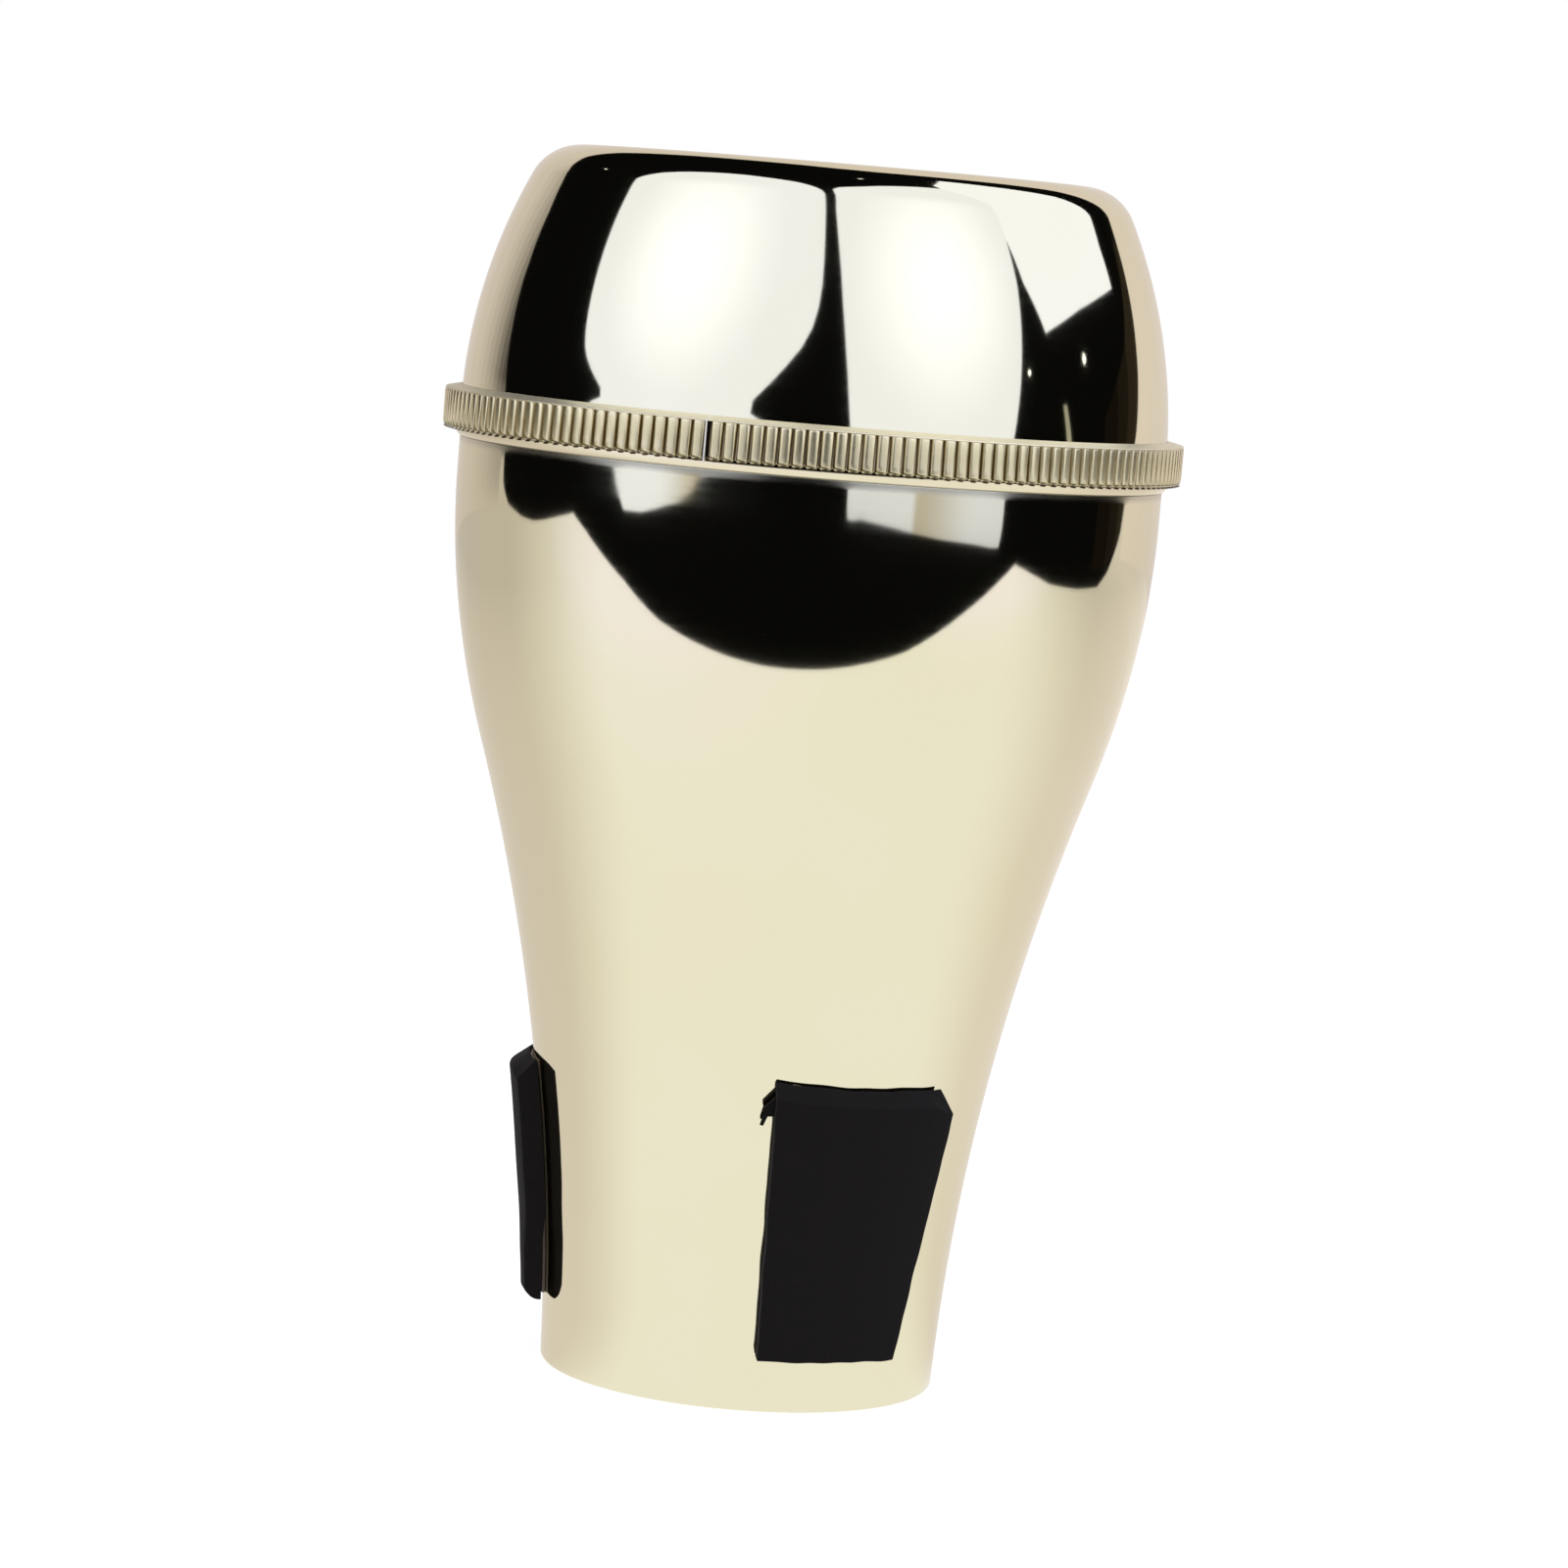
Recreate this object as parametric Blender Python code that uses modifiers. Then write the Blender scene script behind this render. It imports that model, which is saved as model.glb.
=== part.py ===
"""Straight mute for a trombone, of spun and polished brass, standing on its open throat.

Metres, +Z up. The origin is the middle of the throat's rim, and -Y is the front, the side that the
photograph shows. The body and the end cap are spun shells. The cap is closed, and screws on to the
body through a pair of threaded rings, with a reeded band round them as the grip. Three foam pads on
the throat hold the mute in the bell.
"""

import math

import bmesh
import bpy
from mathutils import Matrix, Vector

MM = 0.001

# The body's outline: the throat is nearly straight, flares, and rounds over into the bulb.
THROAT_RADIUS = 31.0 * MM
THROAT_TAPER = 0.029
FLARE_HEIGHT = 97.0 * MM
FLARE_RADIUS = 47.9 * MM
FLARE_SLOPE = 0.324
BULB_RADIUS = 54.75 * MM
BODY_HEIGHT = 144.0 * MM
SHEET = 0.6 * MM

# The throat's edge is turned in on itself, so that it is blunt and stiff.
HEM_THICKNESS = 2.0 * MM
HEM_HEIGHT = 5.0 * MM
HEM_ROUNDING = 0.9 * MM

# The end cap: a side of one large radius, a rounded shoulder and a flat end.
LENGTH = 190.0 * MM
CAP_STEP = 0.25 * MM
CAP_SIDE_RADIUS = 85.0 * MM
SHOULDER_RADIUS = 8.4 * MM

# The screw joint. Its radii follow from the bulb's, wall by wall.
SEAT_GAP = 0.3 * MM
COLLAR_DEPTH = 5.5 * MM
COLLAR_HEIGHT = 5.6 * MM
COLLAR_WALL = 1.4 * MM
THREAD_PITCH = 1.5 * MM
THREAD_TURNS = 2.75
THREAD_START = 0.95 * MM
THREAD_DEPTH = 0.7 * MM
THREAD_CLEARANCE = 0.3 * MM
FLANK_CLEARANCE = 0.22 * MM
FLANK_SLOPE = 0.307
RIDGE_ROOT = 0.4 * MM
RING_WALL = 1.4 * MM
LIP_HEIGHT = 1.1 * MM
SPIGOT_HEIGHT = 4.0 * MM
SPIGOT_WALL = 1.3 * MM
RING_LEDGE = 1.2 * MM
RECESS_STEP = 0.2 * MM
CAP_LAP = 0.5 * MM
WASHER_THICKNESS = 1.0 * MM

# The reeded band is a strip, bent round the ring and soldered end to end. A reed's flank is a share
# of its pitch.
BAND_HEIGHT = 6.0 * MM
BAND_THICKNESS = 2.0 * MM
REED_COUNT = 176
REED_FLANK = 0.3
REED_DEPTH = 0.7 * MM
REED_END = 0.6 * MM
SEAM_ANGLE = -15.6

# The foam pads are cut a little wider at the top, and each is stuck on by a backing of tape. The left
# one is shorter. Angles count from the front towards +X, in degrees. The top's slant dies out downwards
# by a power.
FRONT_PAD_ANGLE = 25.5
LEFT_PAD_ANGLE = -93.0
REAR_PAD_ANGLE = 146.0
PAD_BOTTOM = 9.0 * MM
PAD_HEIGHT = 42.3 * MM
LEFT_PAD_BOTTOM = 10.3 * MM
LEFT_PAD_HEIGHT = 38.0 * MM
PAD_WIDTH_TOP = 26.8 * MM
PAD_WIDTH_BOTTOM = 20.8 * MM
PAD_THICKNESS = 3.4 * MM
PAD_SLANT = 1.9 * MM
SLANT_POWER = 4
PAD_CORNER = 1.6 * MM
TAPE_THICKNESS = 0.3 * MM
TAPE_INSET = 0.6 * MM

# Facets round a turned piece, and along the outlines and the pads.
STEPS = 60
BODY_ROWS = 14
HEM_ROWS = 2
SIDE_ROWS = 5
SHOULDER_ROWS = 5
PAD_COLUMNS = 8
PAD_ROWS = 6
CORNER_ROWS = 2

# What follows from the sizes above. The bulb is full where the collar starts, and runs straight
# over it.
BULB_HEIGHT = BODY_HEIGHT - COLLAR_DEPTH
COLLAR_RADIUS = BULB_RADIUS - SHEET - SEAT_GAP
THREAD_CREST = COLLAR_RADIUS - THREAD_CLEARANCE
THREAD_CORE = THREAD_CREST - THREAD_DEPTH
COLLAR_BORE = THREAD_CORE - COLLAR_WALL
RING_BORE = THREAD_CREST + THREAD_CLEARANCE
RING_RADIUS = RING_BORE + RING_WALL
RECESS_RADIUS = THREAD_CORE - RECESS_STEP
COLLAR_TOP = BODY_HEIGHT + COLLAR_HEIGHT
RING_BOTTOM = BODY_HEIGHT + SEAT_GAP
WASHER_BOTTOM = COLLAR_TOP + SEAT_GAP
WASHER_TOP = WASHER_BOTTOM + WASHER_THICKNESS
LEDGE_BOTTOM = WASHER_TOP + SEAT_GAP
LEDGE_TOP = LEDGE_BOTTOM + RING_LEDGE
BAND_BOTTOM = RING_BOTTOM + LIP_HEIGHT
BAND_TOP = BAND_BOTTOM + BAND_HEIGHT
BAND_BORE = RING_RADIUS + SEAT_GAP
BAND_RADIUS = BAND_BORE + BAND_THICKNESS
JOINT_HEIGHT = (BAND_BOTTOM + BAND_TOP) / 2
CAP_BOTTOM = BAND_TOP - CAP_LAP
CAP_RADIUS = BULB_RADIUS + CAP_STEP
RING_STEP = CAP_BOTTOM - SEAT_GAP
RING_TOP = RING_STEP + SPIGOT_HEIGHT
TAPE_OFFSET = SEAT_GAP
PAD_OFFSET = TAPE_OFFSET + TAPE_THICKNESS + SEAT_GAP

BRASS = (0.74, 0.64, 0.47)
BAND_BRASS = (0.66, 0.58, 0.44)
FOAM_BLACK = (0.012, 0.012, 0.013)
TAPE_BROWN = (0.16, 0.10, 0.06)
RUBBER_BLACK = (0.02, 0.02, 0.02)
SHARP_EDGE = math.radians(30.0)
WELD = 0.00001


def make_collection(name):
    collection = bpy.data.collections.new(name)
    bpy.context.scene.collection.children.link(collection)
    return collection


def make_material(name, colour, roughness, metallic):
    material = bpy.data.materials.new(name)
    material.use_nodes = True
    shader = material.node_tree.nodes["Principled BSDF"]
    shader.inputs["Base Color"].default_value = (*colour, 1.0)
    shader.inputs["Roughness"].default_value = roughness
    shader.inputs["Metallic"].default_value = metallic
    return material


def new_object(name, mesh, collection):
    obj = bpy.data.objects.new(name, mesh)
    collection.objects.link(obj)
    return obj


def object_from(shape, name, collection):
    """A new object with the faces of a bmesh, which is freed."""
    shape.normal_update()
    bmesh.ops.recalc_face_normals(shape, faces=shape.faces)
    mesh = bpy.data.meshes.new(name)
    shape.to_mesh(mesh)
    shape.free()
    return new_object(name, mesh, collection)


def finish(obj, material):
    """Makes the modifiers part of the mesh, gives it its material and smooths all but sharp edges."""
    graph = bpy.context.evaluated_depsgraph_get()
    mesh = bpy.data.meshes.new_from_object(obj.evaluated_get(graph))
    obj.modifiers.clear()
    obj.data = mesh
    mesh.name = obj.name
    mesh.materials.clear()
    mesh.materials.append(material)
    mesh.shade_smooth()
    mesh.set_sharp_from_angle(angle=SHARP_EDGE)
    return obj


def hide_cutter(obj):
    obj.hide_render = True
    obj.display_type = "WIRE"


def smooth_run(share, start, end, start_slope, end_slope, span):
    """A value on the cubic that runs from start to end over a span, with the given end slopes."""
    rest = 1.0 - share
    return (
        (1.0 + 2.0 * share) * rest**2 * start
        + share * rest**2 * span * start_slope
        + share**2 * (3.0 - 2.0 * share) * end
        - share**2 * rest * span * end_slope
    )


def body_radius(height):
    """The body's outer radius at a height."""
    if height < FLARE_HEIGHT:
        share = height / FLARE_HEIGHT
        return smooth_run(share, THROAT_RADIUS, FLARE_RADIUS, THROAT_TAPER, FLARE_SLOPE, FLARE_HEIGHT)
    span = BULB_HEIGHT - FLARE_HEIGHT
    share = min((height - FLARE_HEIGHT) / span, 1.0)
    return smooth_run(share, FLARE_RADIUS, BULB_RADIUS, FLARE_SLOPE, 0.0, span)


def cap_side_radius(height):
    """The cap's outer radius at a height below its shoulder."""
    rise = height - JOINT_HEIGHT
    return CAP_RADIUS - CAP_SIDE_RADIUS + math.sqrt(CAP_SIDE_RADIUS**2 - rise**2)


def arc(centre, radius, start, end, rows):
    """Points on an arc between two angles, counted up from straight outwards."""
    points = []
    for row in range(rows + 1):
        angle = start + (end - start) * row / rows
        points.append((centre[0] + radius * math.cos(angle), centre[1] + radius * math.sin(angle)))
    return points


def inner_face(outer, wall):
    """The inner outline of a wall whose outer outline runs upwards, each point moved in square to it."""
    inner = []
    last = len(outer) - 1
    for index, (radius, height) in enumerate(outer):
        below = outer[max(index - 1, 0)]
        above = outer[min(index + 1, last)]
        along = Vector((above[0] - below[0], above[1] - below[1])).normalized()
        inner.append((radius - along.y * wall, height + along.x * wall))
    return inner


def turn(name, outline, collection, closed=True):
    """A solid turned about Z. Its outline runs down the outer side, and closes or ends on the axis."""
    points = [(radius, 0.0, height) for radius, height in outline]
    edges = [(index, index + 1) for index in range(len(points) - 1)]
    if closed:
        edges.append((len(points) - 1, 0))
    mesh = bpy.data.meshes.new(name)
    mesh.from_pydata(points, edges, [])
    obj = new_object(name, mesh, collection)
    screw = obj.modifiers.new("turning", "SCREW")
    screw.steps = STEPS
    screw.render_steps = STEPS
    screw.use_merge_vertices = True
    screw.merge_threshold = WELD
    return obj


def make_throat_body(material, collection):
    """The lower shell, spun from one sheet: throat, flare and bulb, open at both ends, and a hem."""
    span = BODY_HEIGHT - HEM_ROUNDING
    heights = [HEM_ROUNDING + span * row / BODY_ROWS for row in range(BODY_ROWS + 1)]
    outer = [(body_radius(height), height) for height in heights]
    hem_radius = outer[0][0]
    hem_bore = hem_radius - HEM_THICKNESS
    hem_top = HEM_HEIGHT + HEM_THICKNESS - SHEET
    rim_centre = (hem_radius - HEM_ROUNDING, HEM_ROUNDING)
    rim = arc(rim_centre, HEM_ROUNDING, 0.0, -math.pi / 2, HEM_ROWS)
    hem = [(hem_bore, 0.0), (hem_bore, HEM_HEIGHT), (body_radius(hem_top) - SHEET, hem_top)]
    inner = [point for point in inner_face(outer, SHEET) if point[1] > hem_top + SHEET]
    outline = outer[:0:-1] + rim + hem + inner
    return finish(turn("throat_body", outline, collection), material)


def make_end_cap(material, collection):
    """The upper shell: a bowl with a rounded shoulder and a flat end, open downwards."""
    side_centre = (CAP_RADIUS - CAP_SIDE_RADIUS, JOINT_HEIGHT)
    reach = CAP_SIDE_RADIUS - SHOULDER_RADIUS
    climb = LENGTH - SHOULDER_RADIUS - JOINT_HEIGHT
    lean = math.asin(climb / reach)
    shoulder_centre = (side_centre[0] + reach * math.cos(lean), LENGTH - SHOULDER_RADIUS)
    start = math.asin((CAP_BOTTOM - JOINT_HEIGHT) / CAP_SIDE_RADIUS)
    faces = []
    for wall in (0.0, SHEET):
        side = arc(side_centre, CAP_SIDE_RADIUS - wall, start, lean, SIDE_ROWS)
        shoulder = arc(shoulder_centre, SHOULDER_RADIUS - wall, lean, math.pi / 2, SHOULDER_ROWS)
        faces.append(side + shoulder[1:])
    outer, inner = faces
    outline = [(0.0, LENGTH)] + outer[::-1] + inner + [(0.0, LENGTH - SHEET)]
    return finish(turn("end_cap", outline, collection, closed=False), material)


def thread_ridge(name, root_side, root, crest, start_angle, cutters):
    """A ridge with sloping flanks that climbs as a right-hand helix, with its root in the wall."""
    half_at_root = (THREAD_PITCH / 2 - FLANK_CLEARANCE + FLANK_SLOPE * THREAD_DEPTH) / 2
    half_at_crest = half_at_root - FLANK_SLOPE * THREAD_DEPTH
    middle = BODY_HEIGHT + THREAD_START
    sunk = root + root_side * RIDGE_ROOT
    half_sunk = half_at_root + FLANK_SLOPE * RIDGE_ROOT
    corners = (
        (sunk, -half_sunk),
        (crest, -half_at_crest),
        (crest, half_at_crest),
        (sunk, half_sunk),
    )
    shape = bmesh.new()
    shape.faces.new([shape.verts.new((radius, 0.0, middle + rise)) for radius, rise in corners])
    half_facet = math.pi / STEPS
    turned_to = Matrix.Rotation(start_angle + half_facet, 3, "Z")
    bmesh.ops.rotate(shape, verts=shape.verts, cent=(0.0, 0.0, 0.0), matrix=turned_to)
    steps = round(STEPS * THREAD_TURNS)
    bmesh.ops.spin(
        shape,
        geom=shape.verts[:] + shape.edges[:] + shape.faces[:],
        cent=(0.0, 0.0, 0.0),
        axis=(0.0, 0.0, 1.0),
        dvec=(0.0, 0.0, THREAD_PITCH * THREAD_TURNS / steps),
        angle=math.tau * THREAD_TURNS,
        steps=steps,
    )
    ridge = object_from(shape, name, cutters)
    hide_cutter(ridge)
    return ridge


def join(obj, other):
    union = obj.modifiers.new("join " + other.name, "BOOLEAN")
    union.operation = "UNION"
    union.solver = "EXACT"
    union.object = other


def make_threaded_collar(material, collection, cutters):
    """The male ring, soldered inside the body's upper edge."""
    outline = [
        (THREAD_CORE, COLLAR_TOP),
        (THREAD_CORE, BODY_HEIGHT),
        (COLLAR_RADIUS, BODY_HEIGHT),
        (COLLAR_RADIUS, BULB_HEIGHT),
        (COLLAR_BORE, BULB_HEIGHT),
        (COLLAR_BORE, COLLAR_TOP),
    ]
    collar = turn("threaded_collar", outline, collection)
    join(collar, thread_ridge("collar_ridge", -1, THREAD_CORE, THREAD_CREST, 0.0, cutters))
    return finish(collar, material)


def make_threaded_ring(material, collection, cutters):
    """The female ring, soldered to the cap: lip, seat for the band, spigot, recess for the washer."""
    spigot = cap_side_radius(RING_TOP) - SHEET - SEAT_GAP
    spigot_bore = spigot - SPIGOT_WALL
    outline = [
        (spigot, RING_TOP),
        (spigot, RING_STEP),
        (RING_RADIUS, RING_STEP),
        (RING_RADIUS, RING_BOTTOM),
        (RING_BORE, RING_BOTTOM),
        (RING_BORE, WASHER_BOTTOM),
        (RECESS_RADIUS, WASHER_BOTTOM),
        (RECESS_RADIUS, LEDGE_BOTTOM),
        (COLLAR_BORE, LEDGE_BOTTOM),
        (COLLAR_BORE, LEDGE_TOP),
        (spigot_bore, LEDGE_TOP),
        (spigot_bore, RING_TOP),
    ]
    ring = turn("threaded_ring", outline, collection)
    crest = THREAD_CORE + THREAD_CLEARANCE
    join(ring, thread_ridge("ring_ridge", 1, RING_BORE, crest, math.pi, cutters))
    return finish(ring, material)


def make_sealing_washer(material, collection):
    """A flat ring in the recess, pressed on to the collar's top: no leak and no rattle."""
    outer = RECESS_RADIUS - SEAT_GAP
    outline = [
        (outer, WASHER_TOP),
        (outer, WASHER_BOTTOM),
        (COLLAR_BORE, WASHER_BOTTOM),
        (COLLAR_BORE, WASHER_TOP),
    ]
    return finish(turn("sealing_washer", outline, collection), material)


def stands_at(face, angle):
    """Whether a face lies in the upright plane that holds the axis, at an angle from +X."""
    return all(abs(vert.co.x * math.sin(angle) - vert.co.y * math.cos(angle)) < WELD for vert in face.verts)


def make_reed(start, step):
    """One reed's share of the strip, with a low end above and below, and open to its neighbours."""
    groove = BAND_RADIUS - REED_DEPTH
    plan = (
        (BAND_BORE, 0.0),
        (groove, 0.0),
        (BAND_RADIUS, REED_FLANK),
        (BAND_RADIUS, 1.0 - REED_FLANK),
        (groove, 1.0),
        (BAND_BORE, 1.0),
    )
    levels = (
        (BAND_BOTTOM, groove),
        (BAND_BOTTOM + REED_END, BAND_RADIUS),
        (BAND_TOP - REED_END, BAND_RADIUS),
        (BAND_TOP, groove),
    )
    shape = bmesh.new()
    corners = []
    for radius, share in plan:
        angle = start + step * share
        corners.append(shape.verts.new((radius * math.cos(angle), radius * math.sin(angle), BAND_BOTTOM)))
    top = shape.faces.new(corners)
    for index, (height, _) in enumerate(levels[1:]):
        below = top
        made = bmesh.ops.extrude_face_region(shape, geom=[below])["geom"]
        top = next(item for item in made if isinstance(item, bmesh.types.BMFace))
        for vert in top.verts:
            vert.co.z = height
        if index > 0:
            bmesh.ops.delete(shape, geom=[below], context="FACES_ONLY")
    for vert in shape.verts:
        reach = max(tip for height, tip in levels if abs(height - vert.co.z) < WELD)
        radius = vert.co.xy.length
        if radius > reach + WELD:
            vert.co.xy *= reach / radius
    cuts = [face for face in shape.faces if stands_at(face, start) or stands_at(face, start + step)]
    bmesh.ops.delete(shape, geom=cuts, context="FACES")
    return shape


def make_knurled_band(material, collection, cutters):
    """The reeded grip: one reed, repeated all round from the strip's seam."""
    step = math.tau / REED_COUNT
    reed = make_reed(math.radians(SEAM_ANGLE - 90.0), step)
    band = object_from(reed, "knurled_band", collection)
    turner = bpy.data.objects.new("reed_step", None)
    cutters.objects.link(turner)
    turner.rotation_euler.z = step
    reeds = band.modifiers.new("reeds", "ARRAY")
    reeds.count = REED_COUNT
    reeds.use_relative_offset = False
    reeds.use_object_offset = True
    reeds.offset_object = turner
    reeds.use_merge_vertices = True
    reeds.use_merge_vertices_cap = True
    reeds.merge_threshold = WELD
    return finish(band, material)


def cut_through(shape, point, normal):
    everything = shape.verts[:] + shape.edges[:] + shape.faces[:]
    bmesh.ops.bisect_plane(shape, geom=everything, dist=WELD, plane_co=point, plane_no=normal)


def make_pad(name, spot, offset, thickness, inset, slant, material, collection):
    """A piece cut flat and wrapped on the throat. Its outer face stops short of its top by slant."""
    angle, bottom, full_height = spot
    height = full_height - 2 * inset
    shape = bmesh.new()
    bmesh.ops.create_cube(shape, size=1.0)
    bmesh.ops.scale(shape, verts=shape.verts, vec=(PAD_WIDTH_TOP, thickness, height))
    corners = [edge for edge in shape.edges if abs((edge.verts[0].co - edge.verts[1].co).y) > WELD]
    bmesh.ops.bevel(
        shape, geom=corners, offset=PAD_CORNER, segments=CORNER_ROWS, profile=0.5, affect="EDGES"
    )
    for column in range(1, PAD_COLUMNS):
        place = PAD_WIDTH_TOP * (column / PAD_COLUMNS - 0.5)
        cut_through(shape, (place, 0.0, 0.0), (1.0, 0.0, 0.0))
    for row in range(1, PAD_ROWS):
        place = height * (row / PAD_ROWS - 0.5)
        cut_through(shape, (0.0, 0.0, place), (0.0, 0.0, 1.0))
    for vert in shape.verts:
        across = vert.co.x / PAD_WIDTH_TOP
        out = vert.co.y / thickness + 0.5
        up = vert.co.z / height + 0.5
        width = PAD_WIDTH_BOTTOM + (PAD_WIDTH_TOP - PAD_WIDTH_BOTTOM) * up - 2 * inset
        place = bottom + inset + height * up - slant * out * up**SLANT_POWER
        surface = body_radius(place)
        radius = surface + offset + thickness * out
        turned_to = math.radians(angle - 90.0) + across * width / surface
        vert.co = (radius * math.cos(turned_to), radius * math.sin(turned_to), place)
    return finish(object_from(shape, name, collection), material)


def make_pad_and_tape(place, spot, foam, film, collection):
    """A foam pad over its tape, which is a little smaller all round. A spot is angle, bottom, height."""
    tape = place + "_pad_tape"
    make_pad(tape, spot, TAPE_OFFSET, TAPE_THICKNESS, TAPE_INSET, 0.0, film, collection)
    pad = place + "_foam_pad"
    make_pad(pad, spot, PAD_OFFSET, PAD_THICKNESS, 0.0, PAD_SLANT, foam, collection)


def hold_on_axis(name, pieces, collection):
    """Hangs pieces on an empty that stands on the axis about which they turn, or along which they lift."""
    axis = bpy.data.objects.new(name, None)
    axis.location.z = JOINT_HEIGHT
    collection.objects.link(axis)
    for piece in pieces:
        piece.parent = axis
        piece.location.z = -JOINT_HEIGHT


def build():
    for obj in list(bpy.data.objects):
        bpy.data.objects.remove(obj, do_unlink=True)
    parts = make_collection("trombone_mute")
    cutters = make_collection("cutters")
    cutters.hide_render = True
    brass = make_material("polished_brass", BRASS, 0.08, 1.0)
    band_brass = make_material("band_brass", BAND_BRASS, 0.2, 1.0)
    foam = make_material("pad_foam", FOAM_BLACK, 0.95, 0.0)
    film = make_material("tape_film", TAPE_BROWN, 0.6, 0.0)
    rubber = make_material("washer_rubber", RUBBER_BLACK, 0.8, 0.0)
    make_throat_body(brass, parts)
    make_threaded_collar(brass, parts, cutters)
    make_pad_and_tape("front", (FRONT_PAD_ANGLE, PAD_BOTTOM, PAD_HEIGHT), foam, film, parts)
    make_pad_and_tape("left", (LEFT_PAD_ANGLE, LEFT_PAD_BOTTOM, LEFT_PAD_HEIGHT), foam, film, parts)
    make_pad_and_tape("rear", (REAR_PAD_ANGLE, PAD_BOTTOM, PAD_HEIGHT), foam, film, parts)
    washer = make_sealing_washer(rubber, parts)
    hold_on_axis("washer_lift", [washer], parts)
    cap = make_end_cap(brass, parts)
    ring = make_threaded_ring(brass, parts, cutters)
    band = make_knurled_band(band_brass, parts, cutters)
    hold_on_axis("cap_turning", [cap, ring, band], parts)


build()
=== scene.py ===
"""The looks of a trombone straight mute: a spun and polished shell, a screw cap with a reeded grip,
and three foam pads. Metres, +Z up, with the mute standing on its open throat and its front at -Y.
"""

import math

import bpy
from mathutils import Matrix, Vector, noise


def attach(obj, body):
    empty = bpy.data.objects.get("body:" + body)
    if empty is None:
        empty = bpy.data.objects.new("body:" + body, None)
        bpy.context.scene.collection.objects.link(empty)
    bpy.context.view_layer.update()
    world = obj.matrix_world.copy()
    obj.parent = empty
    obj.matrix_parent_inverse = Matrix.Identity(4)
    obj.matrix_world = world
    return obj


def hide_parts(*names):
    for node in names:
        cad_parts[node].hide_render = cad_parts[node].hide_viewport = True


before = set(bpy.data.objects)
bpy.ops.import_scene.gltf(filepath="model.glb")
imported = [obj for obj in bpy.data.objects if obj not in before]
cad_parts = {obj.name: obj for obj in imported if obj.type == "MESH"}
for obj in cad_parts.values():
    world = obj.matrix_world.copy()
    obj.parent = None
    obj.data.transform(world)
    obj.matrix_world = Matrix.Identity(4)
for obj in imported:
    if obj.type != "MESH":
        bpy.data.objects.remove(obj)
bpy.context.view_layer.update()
MM = 0.001

# The camera stands a little above the mute's cap and looks slightly down. It is rolled, so that the
# mute leans to the right in the picture.
CAMERA_PLACE = (0.0, -0.819, 0.1795)
CAMERA_DOWN = 6.0
CAMERA_ROLL = 4.79
CAMERA_LENS = 120.56
CAMERA_SENSOR = 36.0

bpy.ops.object.select_all(action="DESELECT")
bpy.ops.object.camera_add(location=CAMERA_PLACE)
camera = bpy.context.active_object
camera.name = "camera"
aim = Matrix.Rotation(math.radians(90.0 - CAMERA_DOWN), 4, "X")
roll = Matrix.Rotation(math.radians(CAMERA_ROLL), 4, "Z")
camera.matrix_world = Matrix.Translation(CAMERA_PLACE) @ aim @ roll
camera.data.lens = CAMERA_LENS
camera.data.sensor_width = CAMERA_SENSOR
camera.data.clip_start = 0.01
camera.data.clip_end = 20.0
bpy.context.scene.camera = camera
bpy.context.scene.view_settings.view_transform = "Standard"

# The studio is a dark room. A mirror shows it, so it is built as it stands round the mute: a pale
# table, a pale cloth behind it, and big soft boxes in front. The camera sees plain white instead.
ROOM_MIDDLE = Vector((0.0, 0.0, 0.15))
ROOM_DARK = 0.003
ROOM_FILL = 0.55
WHITE = (1.0, 1.0, 1.0, 1.0)


def link(tree, source, target):
    tree.links.new(source, target)


def add_node(tree, kind, **settings):
    node = tree.nodes.new(kind)
    for name, value in settings.items():
        setattr(node, name, value)
    return node


world = bpy.data.worlds.new("studio")
bpy.context.scene.world = world
world.use_nodes = True
tree = world.node_tree
tree.nodes.clear()
path = add_node(tree, "ShaderNodeLightPath")
room = add_node(tree, "ShaderNodeMix", data_type="FLOAT")
room.inputs["A"].default_value = ROOM_FILL
room.inputs["B"].default_value = ROOM_DARK
link(tree, path.outputs["Is Glossy Ray"], room.inputs["Factor"])
seen = add_node(tree, "ShaderNodeMix", data_type="FLOAT")
seen.inputs["B"].default_value = 1.0
link(tree, path.outputs["Is Camera Ray"], seen.inputs["Factor"])
link(tree, room.outputs["Result"], seen.inputs["A"])
sky = add_node(tree, "ShaderNodeBackground")
sky.inputs["Color"].default_value = WHITE
link(tree, seen.outputs["Result"], sky.inputs["Strength"])
out = add_node(tree, "ShaderNodeOutputWorld")
link(tree, sky.outputs["Background"], out.inputs["Surface"])


def direction(azimuth, elevation):
    """A unit vector from the mute. Azimuth counts from the front towards +X, in degrees."""
    turned, raised = math.radians(azimuth), math.radians(elevation)
    level = math.cos(raised)
    return Vector((level * math.sin(turned), -level * math.cos(turned), math.sin(raised)))


def round_off(corners):
    """The outline with each corner cut at a quarter of its sides, which a second pass makes round."""
    softer = []
    for number, (azimuth, elevation) in enumerate(corners):
        last = corners[number - 1]
        softer.append((last[0] * 0.25 + azimuth * 0.75, last[1] * 0.25 + elevation * 0.75))
        after = corners[(number + 1) % len(corners)]
        softer.append((after[0] * 0.25 + azimuth * 0.75, after[1] * 0.25 + elevation * 0.75))
    return softer


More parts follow.
